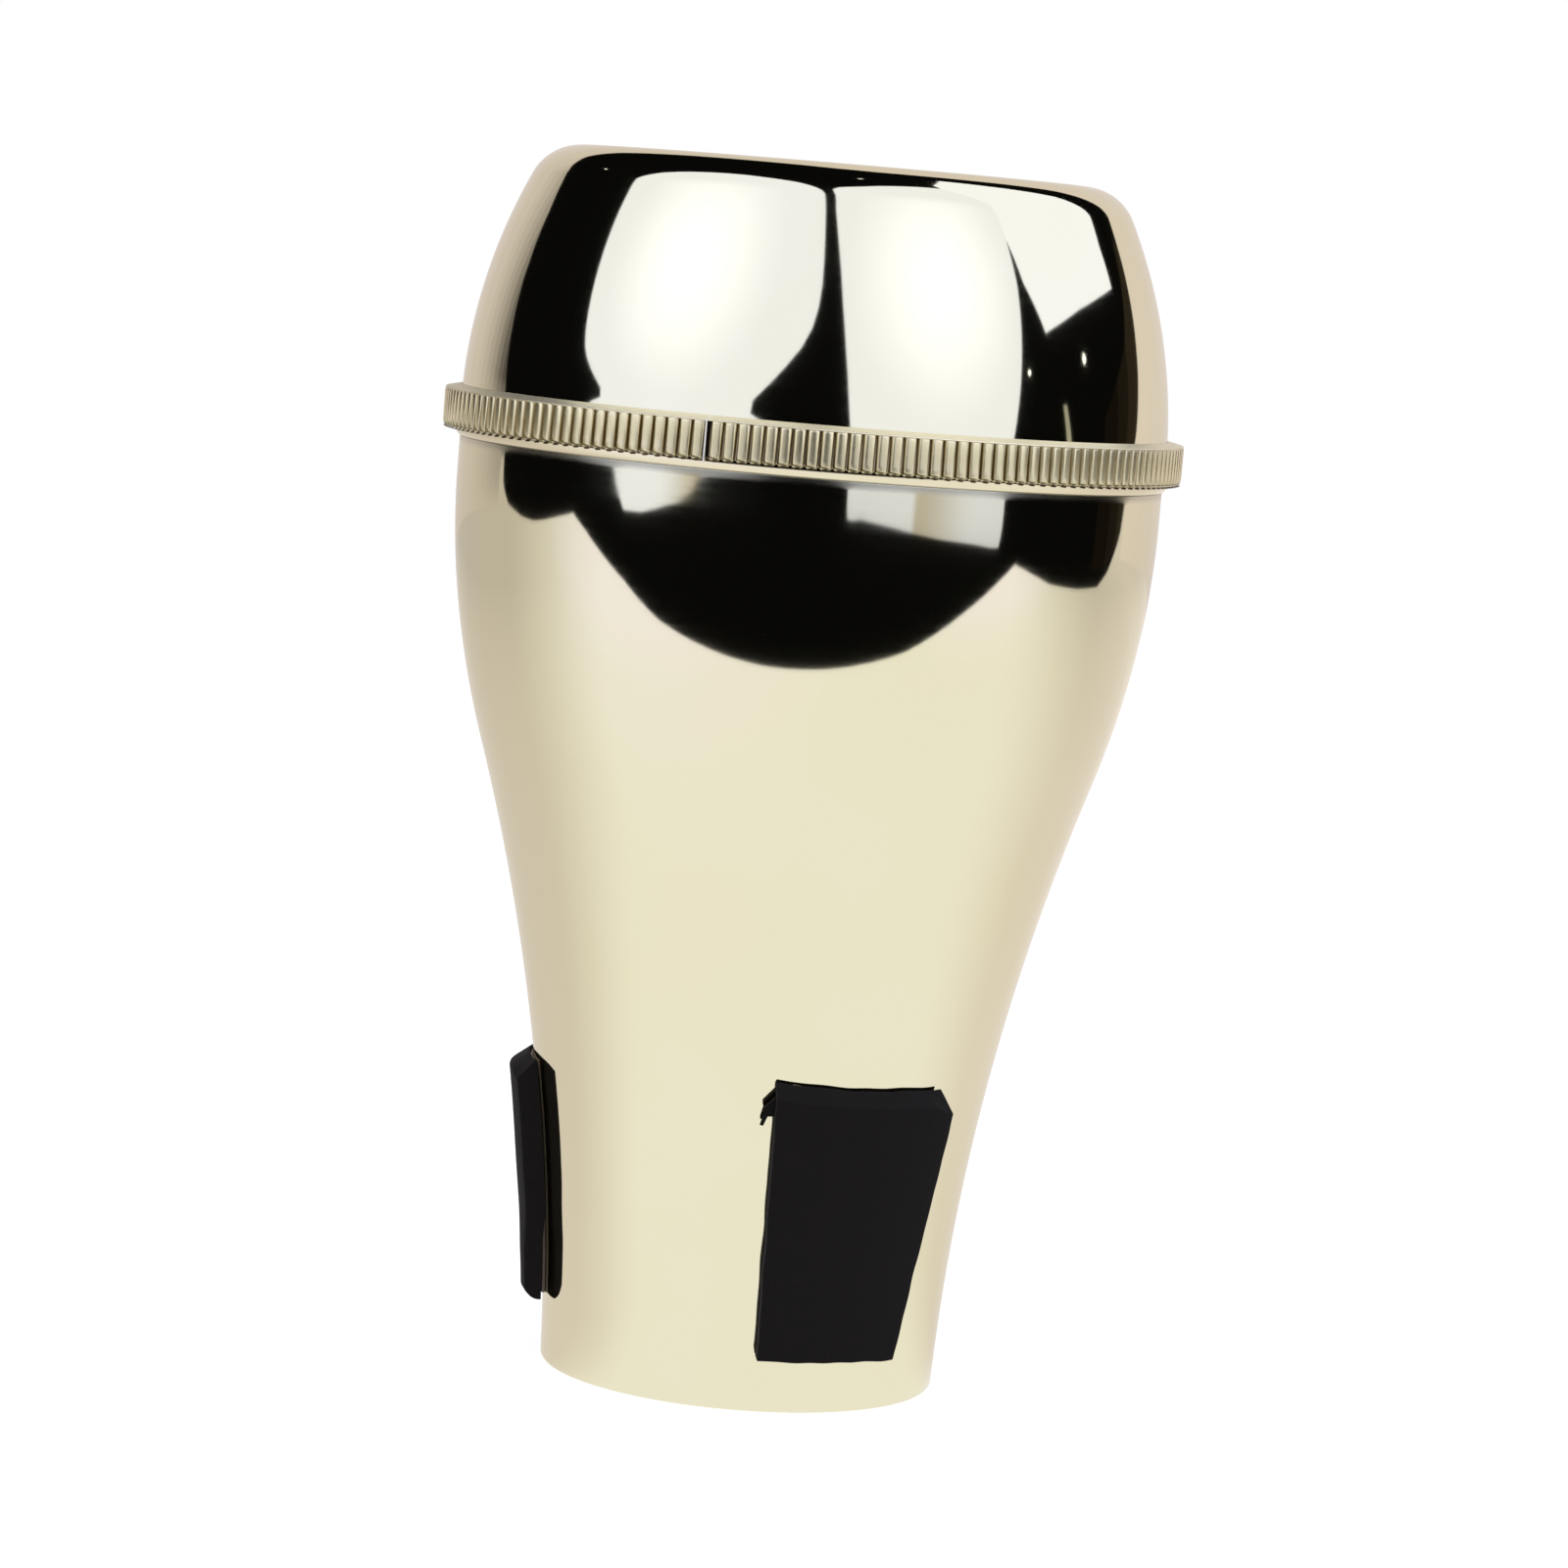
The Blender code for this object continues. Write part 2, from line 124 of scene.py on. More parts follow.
def hang_card(name, corners, colour, strength, hot=1.0, foot=1.0):
    """A glowing sheet whose corners are seen from the mute in the given directions. It can be brighter
    in its middle by a factor, and dimmer or brighter at its foot."""
    bpy.ops.object.select_all(action="DESELECT")
    bpy.ops.mesh.primitive_circle_add(vertices=len(corners), fill_type="NGON")
    card = bpy.context.active_object
    card.name = name
    for vert, (azimuth, elevation) in zip(card.data.vertices, corners):
        vert.co = ROOM_MIDDLE + direction(azimuth, elevation) * CARD_DISTANCE
    middle = sum((vert.co for vert in card.data.vertices), Vector()) / len(corners)
    material = bpy.data.materials.new(name)
    material.use_nodes = True
    tree = material.node_tree
    tree.nodes.clear()
    place = add_node(tree, "ShaderNodeTexCoord")
    away = add_node(tree, "ShaderNodeVectorMath", operation="DISTANCE")
    away.inputs[1].default_value = middle
    link(tree, place.outputs["Object"], away.inputs[0])
    fade = add_node(tree, "ShaderNodeMapRange", interpolation_type="SMOOTHSTEP")
    fade.inputs["From Max"].default_value = BOX_REACH
    fade.inputs["To Min"].default_value = strength * hot
    fade.inputs["To Max"].default_value = strength
    link(tree, away.outputs["Value"], fade.inputs["Value"])
    split = add_node(tree, "ShaderNodeSeparateXYZ")
    link(tree, place.outputs["Object"], split.inputs["Vector"])
    rise = add_node(tree, "ShaderNodeMapRange")
    rise.inputs["From Max"].default_value = FOOT_REACH
    rise.inputs["To Min"].default_value = foot
    link(tree, split.outputs["Z"], rise.inputs["Value"])
    level = add_node(tree, "ShaderNodeMath", operation="MULTIPLY")
    link(tree, fade.outputs["Result"], level.inputs[0])
    link(tree, rise.outputs["Result"], level.inputs[1])
    emission = add_node(tree, "ShaderNodeEmission")
    emission.inputs["Color"].default_value = (*colour, 1.0)
    link(tree, level.outputs["Value"], emission.inputs["Strength"])
    out = add_node(tree, "ShaderNodeOutputMaterial")
    link(tree, emission.outputs["Emission"], out.inputs["Surface"])
    card.data.materials.append(material)
    card.visible_camera = False
    card.visible_shadow = False
    return card


CARD_DISTANCE = 1.6
BOX_COLOUR = (0.87, 0.91, 1.12)
BOX_GLOW = 1.22
BOX_HOT = 1.31
BOX_REACH = 0.75
FOOT_REACH = 0.2
LEFT_BOX = (
    (-63, -2.9), (-58.6, -5.5), (-38.6, -3.4), (-31, -2.4), (-14, 0), (-14, 1.5), (-22, 4.4),
    (-12.5, 12), (-4, 20), (-1.0, 29), (-1.5, 40), (-3, 50), (-8, 63), (-24, 71),
    (-45, 73), (-68, 72), (-84, 69), (-94, 62), (-97, 53), (-94, 42), (-91, 33), (-88, 26),
    (-85, 18), (-82.4, 11), (-79, 8), (-70, 3.4), (-77, 1.5), (-77, -1),
)
MIDDLE_BOX = (
    (1, 51), (4.6, 38), (7.2, 24), (11.4, 2), (12, -3), (13, -4), (18, -3.6), (60, -5.8), (63.8, -5.7),
    (64, -5.5), (65.9, 2), (67.9, 13), (72.9, 26), (74, 34), (76, 44), (100, 62), (101, 73), (57, 78),
    (15, 73), (-1, 67),
)
RIGHT_BOX = (
    (81, 18.7), (98, 19.6), (121, 17.3), (122, 22), (131, 32), (140, 41), (145, 54), (152, 61),
    (120, 70), (95, 68), (74, 44), (74.2, 37), (76, 28),
)
left_box = hang_card("left_soft_box", round_off(LEFT_BOX), BOX_COLOUR, BOX_GLOW, BOX_HOT, 0.92)
middle_box = hang_card("middle_soft_box", round_off(MIDDLE_BOX), BOX_COLOUR, BOX_GLOW, BOX_HOT, 0.67)
hang_card("right_soft_box", RIGHT_BOX, BOX_COLOUR, BOX_GLOW * 1.08)

# The cloth of the two front boxes is creased at its foot.
CREASE_COLOUR = (0.60, 0.56, 0.52)
CREASE_TOP = -0.02
CREASE_FADE = 0.04


def crease(card, edge, clear):
    """A crease at a box's foot: dim from the azimuth of its edge on, and gone at the second azimuth."""
    tree = card.data.materials[0].node_tree
    place = add_node(tree, "ShaderNodeTexCoord")
    inward = add_node(tree, "ShaderNodeVectorMath", operation="SUBTRACT")
    inward.inputs[0].default_value = ROOM_MIDDLE
    link(tree, place.outputs["Object"], inward.inputs[1])
    split = add_node(tree, "ShaderNodeSeparateXYZ")
    link(tree, inward.outputs["Vector"], split.inputs["Vector"])
    leftward = add_node(tree, "ShaderNodeMath", operation="ARCTAN2")
    link(tree, split.outputs["X"], leftward.inputs[0])
    link(tree, split.outputs["Y"], leftward.inputs[1])
    fade = add_node(tree, "ShaderNodeMapRange", interpolation_type="SMOOTHSTEP")
    fade.inputs["From Min"].default_value = math.radians(-clear)
    fade.inputs["From Max"].default_value = math.radians(-edge)
    link(tree, leftward.outputs["Value"], fade.inputs["Value"])
    start = add_node(tree, "ShaderNodeMapRange")
    start.inputs["From Min"].default_value = math.radians(-edge) + math.copysign(0.03, clear - edge)
    start.inputs["From Max"].default_value = math.radians(-edge)
    link(tree, leftward.outputs["Value"], start.inputs["Value"])
    low = add_node(tree, "ShaderNodeMapRange")
    low.inputs["From Min"].default_value = -CREASE_TOP
    low.inputs["From Max"].default_value = CREASE_FADE - CREASE_TOP
    link(tree, split.outputs["Z"], low.inputs["Value"])
    within = add_node(tree, "ShaderNodeMath", operation="MULTIPLY")
    link(tree, fade.outputs["Result"], within.inputs[0])
    link(tree, start.outputs["Result"], within.inputs[1])
    share = add_node(tree, "ShaderNodeMath", operation="MULTIPLY")
    link(tree, within.outputs["Value"], share.inputs[0])
    link(tree, low.outputs["Result"], share.inputs[1])
    tint = add_node(tree, "ShaderNodeMix", data_type="RGBA")
    tint.inputs["A"].default_value = (*BOX_COLOUR, 1.0)
    tint.inputs["B"].default_value = (*CREASE_COLOUR, 1.0)
    link(tree, share.outputs["Value"], tint.inputs["Factor"])
    link(tree, tint.outputs["Result"], tree.nodes["Emission"].inputs["Color"])


crease(left_box, -35.0, -49.0)
crease(middle_box, 34.5, 55.0)

# The bare bulbs of the room, far off, make small sparks in the metal.
SPARK_COLOUR = (0.93, 0.97, 1.0)
SPARK_GLOW = 3.0
SPARKS = ((-119.7, 37.4, 0.6), (143.8, 82.3, 0.6), (72.2, 13.0, 0.6), (97.0, 12.8, 0.9))
for number, (azimuth, elevation, size) in enumerate(SPARKS):
    width = size / math.cos(math.radians(elevation))
    corners = [(azimuth + width * side, elevation + size * up) for side, up in
               ((-1, 0), (0, -1), (1, 0), (0, 1))]
    hang_card("spark_%d" % number, corners, SPARK_COLOUR, SPARK_GLOW)

# A narrow lit strip stands to the right.
hang_card("lit_strip", ((85.7, 6.9), (88.0, 0.0), (90.2, 0.0), (87.3, 6.9)), (1.0, 0.97, 0.83), 0.42)

# Three dim brown panels stand behind it, up to the cloth, each one lighter than the last.
DIM_COLOUR = (1.0, 0.77, 0.53)
DIM_PANELS = (
    (0.008, ((106, -7), (113, -6.6), (114, 8), (106, 4))),
    (0.014, ((113, -6.6), (118, -5), (122, 11), (114, 8))),
    (0.026, ((118, -5), (122.6, -2.8), (123.3, -2.6), (126, 1), (130, 9), (135, 17), (133, 19), (122, 11))),
)
for number, (glow, corners) in enumerate(DIM_PANELS):
    hang_card("dim_panel_%d" % number, corners, DIM_COLOUR, glow)

# The cloth behind hangs in strips. Each row is a strip's azimuth, its top's elevation and its glow, which
# dies away towards the left end. At its foot it is as bright as the table that it stands on.
CLOTH_COLOUR = (1.0, 0.91, 0.88)
CLOTH_FOOT = -8.0
CLOTH_STRIPS = (
    (122.6, -7, 0.85), (123.3, -2.6, 0.85), (126, 1, 0.85), (130, 9, 0.85), (135, 17, 0.84),
    (145, 26, 0.83), (156, 36, 0.82), (161, 46, 0.81), (167, 52, 0.8), (173, 55, 0.79), (180, 54, 0.78),
    (187, 48, 0.76), (193, 40, 0.75), (199, 34, 0.74), (208, 31, 0.71), (217, 29, 0.66), (221.5, 27, 0.59),
    (226, 25, 0.5), (229.5, 22, 0.41), (233, 19, 0.28), (236, 13.5, 0.17), (239, 7, 0.1), (242, 1, 0.1),
)
FOOT_GLOW = (0.84, 0.61)
for number, (left, right) in enumerate(zip(CLOTH_STRIPS, CLOTH_STRIPS[1:])):
    corners = ((left[0], CLOTH_FOOT), (right[0], CLOTH_FOOT), right[:2], left[:2])
    share = number / (len(CLOTH_STRIPS) - 2)
    foot = (FOOT_GLOW[0] + (FOOT_GLOW[1] - FOOT_GLOW[0]) * share) / left[2]
    hang_card("rear_cloth_%02d" % number, corners, CLOTH_COLOUR, left[2], foot=foot)

# The table top, as the metal shows it: a straight front edge, then sides that open to the rear. It is
# brightest before the mute, under the soft boxes, and dimmer and warmer behind it, most so at its sides.
# The shade spreads out from the mute, as a shadow does.
TABLE_CORNERS = (
    (-1.46, -0.275), (-1.04, -0.309), (-0.72, -0.312), (-0.48, -0.31), (-0.288, -0.291), (0.0, -0.298),
    (0.214, -0.302), (0.319, -0.314), (0.45, -0.328), (0.7, -0.348), (1.04, -0.366), (0.967, -0.227),
    (0.89, -0.063), (0.893, 0.141), (0.94, 0.346), (1.126, 0.533), (1.54, 0.86), (2.35, 1.5), (2.66, 1.74),
    (1.9, 2.4), (-1.9, 2.4), (-2.77, 1.4), (-2.2, 1.06), (-1.56, 0.62), (-1.3, 0.316), (-1.23, 0.149),
    (-1.26, 0.037), (-1.38, -0.158),
)
TABLE_MIDDLE = 0.15
TABLE_HALF_WIDTH = 0.75
TABLE_NEAR_GLOW = 1.0
TABLE_FAR_GLOW = 0.88
TABLE_SIDE_GLOW = 0.61
TABLE_REAR = (0.2, 0.8)
TABLE_REAR_LIFT = 0.14
TABLE_REAR_SIDES = (-0.6, 0.6)
SHADE_SHIFT = (-0.03, 0.015)
SHADE_SHIFT_REACH = 0.06
SHADE_SPREAD = (-0.45, 0.45)
SHADE_NEAREST = 0.02
TABLE_WARM = (1.0, 0.935, 0.9, 1.0)
TABLE_EDGE_TINT = (1.06, 1.035, 1.17, 1.0)
TABLE_EDGE = (0.02, 0.11)
TABLE_GREY = 0.8
TABLE_LIFT = 0.55
bpy.ops.object.select_all(action="DESELECT")
bpy.ops.mesh.primitive_circle_add(vertices=len(TABLE_CORNERS), fill_type="NGON")
table = bpy.context.active_object
table.name = "floor"
for vert, (side, depth) in zip(table.data.vertices, TABLE_CORNERS):
    vert.co = (side, depth, 0.0)
material = bpy.data.materials.new("floor")
material.use_nodes = True
tree = material.node_tree
tree.nodes.clear()
path = add_node(tree, "ShaderNodeLightPath")
place = add_node(tree, "ShaderNodeTexCoord")
split = add_node(tree, "ShaderNodeSeparateXYZ")
link(tree, place.outputs["Object"], split.inputs["Vector"])


def add_sum(tree, operation, first, second, third=None):
    """A math node. Its inputs are sockets or numbers."""
    node = add_node(tree, "ShaderNodeMath", operation=operation)
    for number, value in enumerate((first, second, third)):
        if isinstance(value, (int, float)):
            node.inputs[number].default_value = value
        elif value is not None:
            link(tree, value, node.inputs[number])
    return node.outputs["Value"]


def add_ramp(tree, value, start, end, low, high, kind="LINEAR"):
    """A value mapped from one range to another, and held at both ends."""
    node = add_node(tree, "ShaderNodeMapRange", interpolation_type=kind)
    for name, number in (("From Min", start), ("From Max", end), ("To Min", low), ("To Max", high)):
        node.inputs[name].default_value = number
    link(tree, value, node.inputs["Value"])
    return node.outputs["Result"]


across, depth = split.outputs["X"], split.outputs["Y"]
from_middle = add_sum(tree, "ABSOLUTE", add_sum(tree, "SUBTRACT", across, TABLE_MIDDLE), None)
far_glow = add_ramp(tree, from_middle, 0.0, TABLE_HALF_WIDTH, TABLE_FAR_GLOW, TABLE_SIDE_GLOW)
rear = add_ramp(tree, depth, *TABLE_REAR, 0.0, TABLE_REAR_LIFT)
rear_side = add_ramp(tree, across, *TABLE_REAR_SIDES, 0.0, 1.0)
behind = add_sum(tree, "MULTIPLY_ADD", rear, rear_side, far_glow)
shift = add_ramp(tree, across, -SHADE_SHIFT_REACH, SHADE_SHIFT_REACH, *SHADE_SHIFT)
aside = add_sum(tree, "MAXIMUM", add_sum(tree, "ABSOLUTE", across, None), SHADE_NEAREST)
shade_slope = add_sum(tree, "DIVIDE", add_sum(tree, "SUBTRACT", depth, shift), aside)
shade = add_ramp(tree, shade_slope, *SHADE_SPREAD, 0.0, 1.0, "SMOOTHSTEP")
ahead = add_sum(tree, "MULTIPLY", add_sum(tree, "MULTIPLY", depth, -1.0), from_middle)
glow = add_node(tree, "ShaderNodeMix", data_type="FLOAT")
glow.inputs["A"].default_value = TABLE_NEAR_GLOW
link(tree, behind, glow.inputs["B"])
link(tree, shade, glow.inputs["Factor"])
edge = add_node(tree, "ShaderNodeMix", data_type="RGBA")
edge.inputs["A"].default_value = WHITE
edge.inputs["B"].default_value = TABLE_EDGE_TINT
link(tree, add_ramp(tree, ahead, *TABLE_EDGE, 0.0, 1.0), edge.inputs["Factor"])
warm = add_node(tree, "ShaderNodeMix", data_type="RGBA")
warm.inputs["B"].default_value = TABLE_WARM
link(tree, edge.outputs["Result"], warm.inputs["A"])
link(tree, shade, warm.inputs["Factor"])
mirrored = add_node(tree, "ShaderNodeEmission")
link(tree, warm.outputs["Result"], mirrored.inputs["Color"])
link(tree, glow.outputs["Result"], mirrored.inputs["Strength"])
cloth = add_node(tree, "ShaderNodeBsdfDiffuse")
cloth.inputs["Color"].default_value = (TABLE_GREY, TABLE_GREY, TABLE_GREY, 1.0)
lift = add_node(tree, "ShaderNodeEmission")
shine = add_node(tree, "ShaderNodeMath", operation="MULTIPLY")
shine.inputs[1].default_value = TABLE_LIFT
link(tree, path.outputs["Is Camera Ray"], shine.inputs[0])
link(tree, shine.outputs["Value"], lift.inputs["Strength"])
both = add_node(tree, "ShaderNodeAddShader")
link(tree, cloth.outputs["BSDF"], both.inputs[0])
link(tree, lift.outputs["Emission"], both.inputs[1])
pick = add_node(tree, "ShaderNodeMixShader")
link(tree, path.outputs["Is Glossy Ray"], pick.inputs["Fac"])
link(tree, both.outputs["Shader"], pick.inputs[1])
link(tree, mirrored.outputs["Emission"], pick.inputs[2])
out = add_node(tree, "ShaderNodeOutputMaterial")
link(tree, pick.outputs["Shader"], out.inputs["Surface"])
table.data.materials.append(material)

# The throat body is one sheet of brass, spun over a former into throat, flare and bulb. Its foot is
# turned in as a hem, and the whole is polished to a mirror and lacquered.
THROAT_RADIUS = 31.0 * MM
THROAT_TAPER = 0.029
FLARE_HEIGHT = 97.0 * MM
FLARE_RADIUS = 47.9 * MM
FLARE_SLOPE = 0.324
BULB_HEIGHT = 138.5 * MM
BULB_RADIUS = 54.75 * MM
BODY_HEIGHT = 144.0 * MM
SHEET = 0.6 * MM
EDGE_ROUNDING = 0.2 * MM
HEM_THICKNESS = 2.0 * MM
HEM_HEIGHT = 5.0 * MM
HEM_ROUNDING = 0.9 * MM
UPPER_ROUNDING = 0.06 * MM
UPPER_TURN = 80.0
# The body's top edge, under the ring's lip, is rough satin, and its grey colour there is painted shade.
SATIN_AND_SHADE_FULL = 143.6 * MM
SATIN_AND_SHADE_END = 142.7 * MM
SATIN_SHADE_GREY = (0.64, 0.61, 0.47)
SATIN_ROUGH = 0.2
LATHE_STEPS = 240
OUTER_ROWS = 84
INNER_ROWS = 40
WELD = 0.001 * MM
SHARP_EDGE = math.radians(35.0)


def smooth_run(share, start, end, start_slope, end_slope, span):
    """A value on the cubic that runs from start to end over a span, with the given end slopes."""
    rest = 1.0 - share
    return (
        (1.0 + 2.0 * share) * rest**2 * start
        + share * rest**2 * span * start_slope
        + share**2 * (3.0 - 2.0 * share) * end
        - share**2 * rest * span * end_slope
    )


def body_radius(height):
    """The shell's outer radius at a height."""
    if height < FLARE_HEIGHT:
        share = height / FLARE_HEIGHT
        return smooth_run(share, THROAT_RADIUS, FLARE_RADIUS, THROAT_TAPER, FLARE_SLOPE, FLARE_HEIGHT)
    span = BULB_HEIGHT - FLARE_HEIGHT
    share = min((height - FLARE_HEIGHT) / span, 1.0)
    return smooth_run(share, FLARE_RADIUS, BULB_RADIUS, FLARE_SLOPE, 0.0, span)


def arc(centre, radius, start, end, rows):
    """Points on an arc between two angles in degrees, counted up from straight outwards."""
    points = []
    for row in range(rows + 1):
        angle = math.radians(start + (end - start) * row / rows)
        points.append((centre[0] + radius * math.cos(angle), centre[1] + radius * math.sin(angle)))
    return points


def turn(name, outline, closed=True):
    """A piece turned on a lathe: its outline is drawn point by point, and then spun right round."""
    bpy.ops.object.select_all(action="DESELECT")
    bpy.ops.mesh.primitive_plane_add(size=MM)
    piece = bpy.context.active_object
    piece.name = name
    bpy.ops.object.mode_set(mode="EDIT")
    bpy.ops.mesh.merge(type="CENTER")
    here = outline[0]
    bpy.ops.transform.translate(value=(here[0], 0.0, here[1]))
    for radius, height in outline[1:]:
        step = (radius - here[0], 0.0, height - here[1])
        bpy.ops.mesh.extrude_region_move(TRANSFORM_OT_translate={"value": step})
        here = (radius, height)
    if closed:
        step = (outline[0][0] - here[0], 0.0, outline[0][1] - here[1])
        bpy.ops.mesh.extrude_region_move(TRANSFORM_OT_translate={"value": step})
    bpy.ops.mesh.select_all(action="SELECT")
    bpy.ops.mesh.spin(steps=LATHE_STEPS, angle=math.tau, center=(0.0, 0.0, 0.0), axis=(0.0, 0.0, 1.0))
    bpy.ops.mesh.select_all(action="SELECT")
    bpy.ops.mesh.remove_doubles(threshold=WELD)
    bpy.ops.mesh.normals_make_consistent(inside=False)
    bpy.ops.object.mode_set(mode="OBJECT")
    bpy.ops.object.shade_smooth_by_angle(angle=SHARP_EDGE)
    return piece


def polished_brass(name, pale, deep, roughness):
    """Brass with a mirror polish: faint lines from the lathe, a slight ripple and a few dull marks."""
    material = bpy.data.materials.new(name)
    material.use_nodes = True
    tree = material.node_tree
    shader = tree.nodes["Principled BSDF"]
    shader.inputs["Metallic"].default_value = 1.0
    shader.inputs["Specular Tint"].default_value = (0.95, 0.94, 0.91, 1.0)
    place = add_node(tree, "ShaderNodeTexCoord")
    clouds = add_node(tree, "ShaderNodeTexNoise")
    clouds.inputs["Scale"].default_value = 28.0
    clouds.inputs["Detail"].default_value = 3.0
    link(tree, place.outputs["Object"], clouds.inputs["Vector"])
    tint = add_node(tree, "ShaderNodeMix", data_type="RGBA")
    tint.inputs["A"].default_value = (*pale, 1.0)
    tint.inputs["B"].default_value = (*deep, 1.0)
    link(tree, clouds.outputs["Fac"], tint.inputs["Factor"])
    link(tree, tint.outputs["Result"], shader.inputs["Base Color"])
    across = add_node(tree, "ShaderNodeMapping")
    across.inputs["Scale"].default_value = (5.0, 5.0, 1400.0)
    link(tree, place.outputs["Object"], across.inputs["Vector"])
    lines = add_node(tree, "ShaderNodeTexNoise")
    lines.inputs["Scale"].default_value = 1.0
    lines.inputs["Detail"].default_value = 4.0
    link(tree, across.outputs["Vector"], lines.inputs["Vector"])
    rub = add_node(tree, "ShaderNodeMapRange")
    rub.inputs["From Min"].default_value = 0.3
    rub.inputs["From Max"].default_value = 0.75
    rub.inputs["To Min"].default_value = roughness
    rub.inputs["To Max"].default_value = roughness * 1.35
    link(tree, lines.outputs["Fac"], rub.inputs["Value"])
    link(tree, rub.outputs["Result"], shader.inputs["Roughness"])
    fine = add_node(tree, "ShaderNodeBump")
    fine.inputs["Strength"].default_value = 0.06
    fine.inputs["Distance"].default_value = 0.002 * MM
    link(tree, lines.outputs["Fac"], fine.inputs["Height"])
    ripple = add_node(tree, "ShaderNodeTexNoise")
    ripple.inputs["Scale"].default_value = 90.0
    ripple.inputs["Detail"].default_value = 1.0
    link(tree, place.outputs["Object"], ripple.inputs["Vector"])
    wave = add_node(tree, "ShaderNodeBump")
    wave.inputs["Strength"].default_value = 0.5
    wave.inputs["Distance"].default_value = 0.02 * MM
    link(tree, ripple.outputs["Fac"], wave.inputs["Height"])
    link(tree, fine.outputs["Normal"], wave.inputs["Normal"])
    link(tree, wave.outputs["Normal"], shader.inputs["Normal"])
    return material


def leave_satin_and_shade(material, full, end):
    """Near an edge, where no polishing wheel reaches, the metal is left satin, and its grey colour there is
    painted shade, the shade under the ring's lip. That finish is complete at one height and ends at the
    other."""
    tree = material.node_tree
    shader = tree.nodes["Principled BSDF"]
    place = add_node(tree, "ShaderNodeTexCoord")
    split = add_node(tree, "ShaderNodeSeparateXYZ")
    link(tree, place.outputs["Object"], split.inputs["Vector"])
    near = add_node(tree, "ShaderNodeMapRange")
    near.inputs["From Min"].default_value = end
    near.inputs["From Max"].default_value = full
    link(tree, split.outputs["Z"], near.inputs["Value"])
    tint = add_node(tree, "ShaderNodeMix", data_type="RGBA")
    tint.inputs["B"].default_value = (*SATIN_SHADE_GREY, 1.0)
    rub = add_node(tree, "ShaderNodeMix", data_type="FLOAT")
    rub.inputs["B"].default_value = SATIN_ROUGH
    for mix, name in ((tint, "Base Color"), (rub, "Roughness")):
        link(tree, shader.inputs[name].links[0].from_socket, mix.inputs["A"])
        link(tree, near.outputs["Result"], mix.inputs["Factor"])
        link(tree, mix.outputs["Result"], shader.inputs[name])


SHELL_PALE = (0.825, 0.79, 0.605)
SHELL_DEEP = (0.815, 0.76, 0.535)
SHELL_ROUGH = 0.042
throat_brass = polished_brass("throat_brass", SHELL_PALE, SHELL_DEEP, SHELL_ROUGH)
leave_satin_and_shade(throat_brass, SATIN_AND_SHADE_FULL, SATIN_AND_SHADE_END)

foot_radius = body_radius(HEM_ROUNDING)
hem_bore = foot_radius - HEM_THICKNESS
hem_top = HEM_HEIGHT + HEM_THICKNESS - SHEET
wall_top = BODY_HEIGHT - UPPER_ROUNDING
edge_centre = (BULB_RADIUS - UPPER_ROUNDING, wall_top)
outer_wall = arc(edge_centre, UPPER_ROUNDING, UPPER_TURN, 0.0, 4)
outer_wall.append((BULB_RADIUS, wall_top - UPPER_ROUNDING))
for row in range(1, OUTER_ROWS + 1):
    height = wall_top - (wall_top - HEM_ROUNDING) * row / OUTER_ROWS
    outer_wall.append((body_radius(height), height))
rim = arc((foot_radius - HEM_ROUNDING, HEM_ROUNDING), HEM_ROUNDING, -12.0, -90.0, 8)
rim += arc((hem_bore + HEM_ROUNDING / 2, HEM_ROUNDING / 2), HEM_ROUNDING / 2, -90.0, -180.0, 5)
hem_edge = arc((hem_bore + EDGE_ROUNDING, HEM_HEIGHT), EDGE_ROUNDING, 180.0, 90.0, 4)
hem_edge += [(body_radius(hem_top) - SHEET, hem_top - SHEET)]
inner_wall = []
for row in range(INNER_ROWS + 1):
    height = hem_top + (BODY_HEIGHT - hem_top) * row / INNER_ROWS
    inner_wall.append((body_radius(height) - SHEET, height))
shell = turn("throat_shell", outer_wall + rim + hem_edge + inner_wall)
shell.data.materials.append(throat_brass)
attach(shell, "mute_body")
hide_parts("throat_body")

# The end cap is spun too: a side of one large radius, a rounded shoulder and a flat, closed end.
LENGTH = 190.0 * MM
JOINT_HEIGHT = 148.4 * MM
CAP_BOTTOM = 150.9 * MM
CAP_RADIUS = 55.0 * MM
CAP_SIDE_RADIUS = 85.0 * MM
SHOULDER_RADIUS = 8.4 * MM
SIDE_ROWS = 40
SHOULDER_ROWS = 24
END_RINGS = 12

side_centre = (CAP_RADIUS - CAP_SIDE_RADIUS, JOINT_HEIGHT)
reach = CAP_SIDE_RADIUS - SHOULDER_RADIUS
lean = math.degrees(math.asin((LENGTH - SHOULDER_RADIUS - JOINT_HEIGHT) / reach))
shoulder_centre = (side_centre[0] + reach * math.cos(math.radians(lean)), LENGTH - SHOULDER_RADIUS)
foot = math.degrees(math.asin((CAP_BOTTOM - JOINT_HEIGHT) / CAP_SIDE_RADIUS))
end_flat = [(shoulder_centre[0] * ring / END_RINGS, LENGTH) for ring in range(END_RINGS)]
shoulder = arc(shoulder_centre, SHOULDER_RADIUS, 90.0, lean, SHOULDER_ROWS)
side = arc(side_centre, CAP_SIDE_RADIUS, lean, foot, SIDE_ROWS)
inner_side = arc(side_centre, CAP_SIDE_RADIUS - SHEET, foot, lean, SIDE_ROWS // 2)
inner_shoulder = arc(shoulder_centre, SHOULDER_RADIUS - SHEET, lean, 90.0, SHOULDER_ROWS // 2)
outline = end_flat + shoulder + side[1:] + inner_side + inner_shoulder[1:] + [(0.0, LENGTH - SHEET)]
cap = turn("cap_shell", outline, closed=False)
cap.data.materials.append(polished_brass("cap_brass", SHELL_PALE, SHELL_DEEP, SHELL_ROUGH))
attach(cap, "cap")
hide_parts("end_cap")

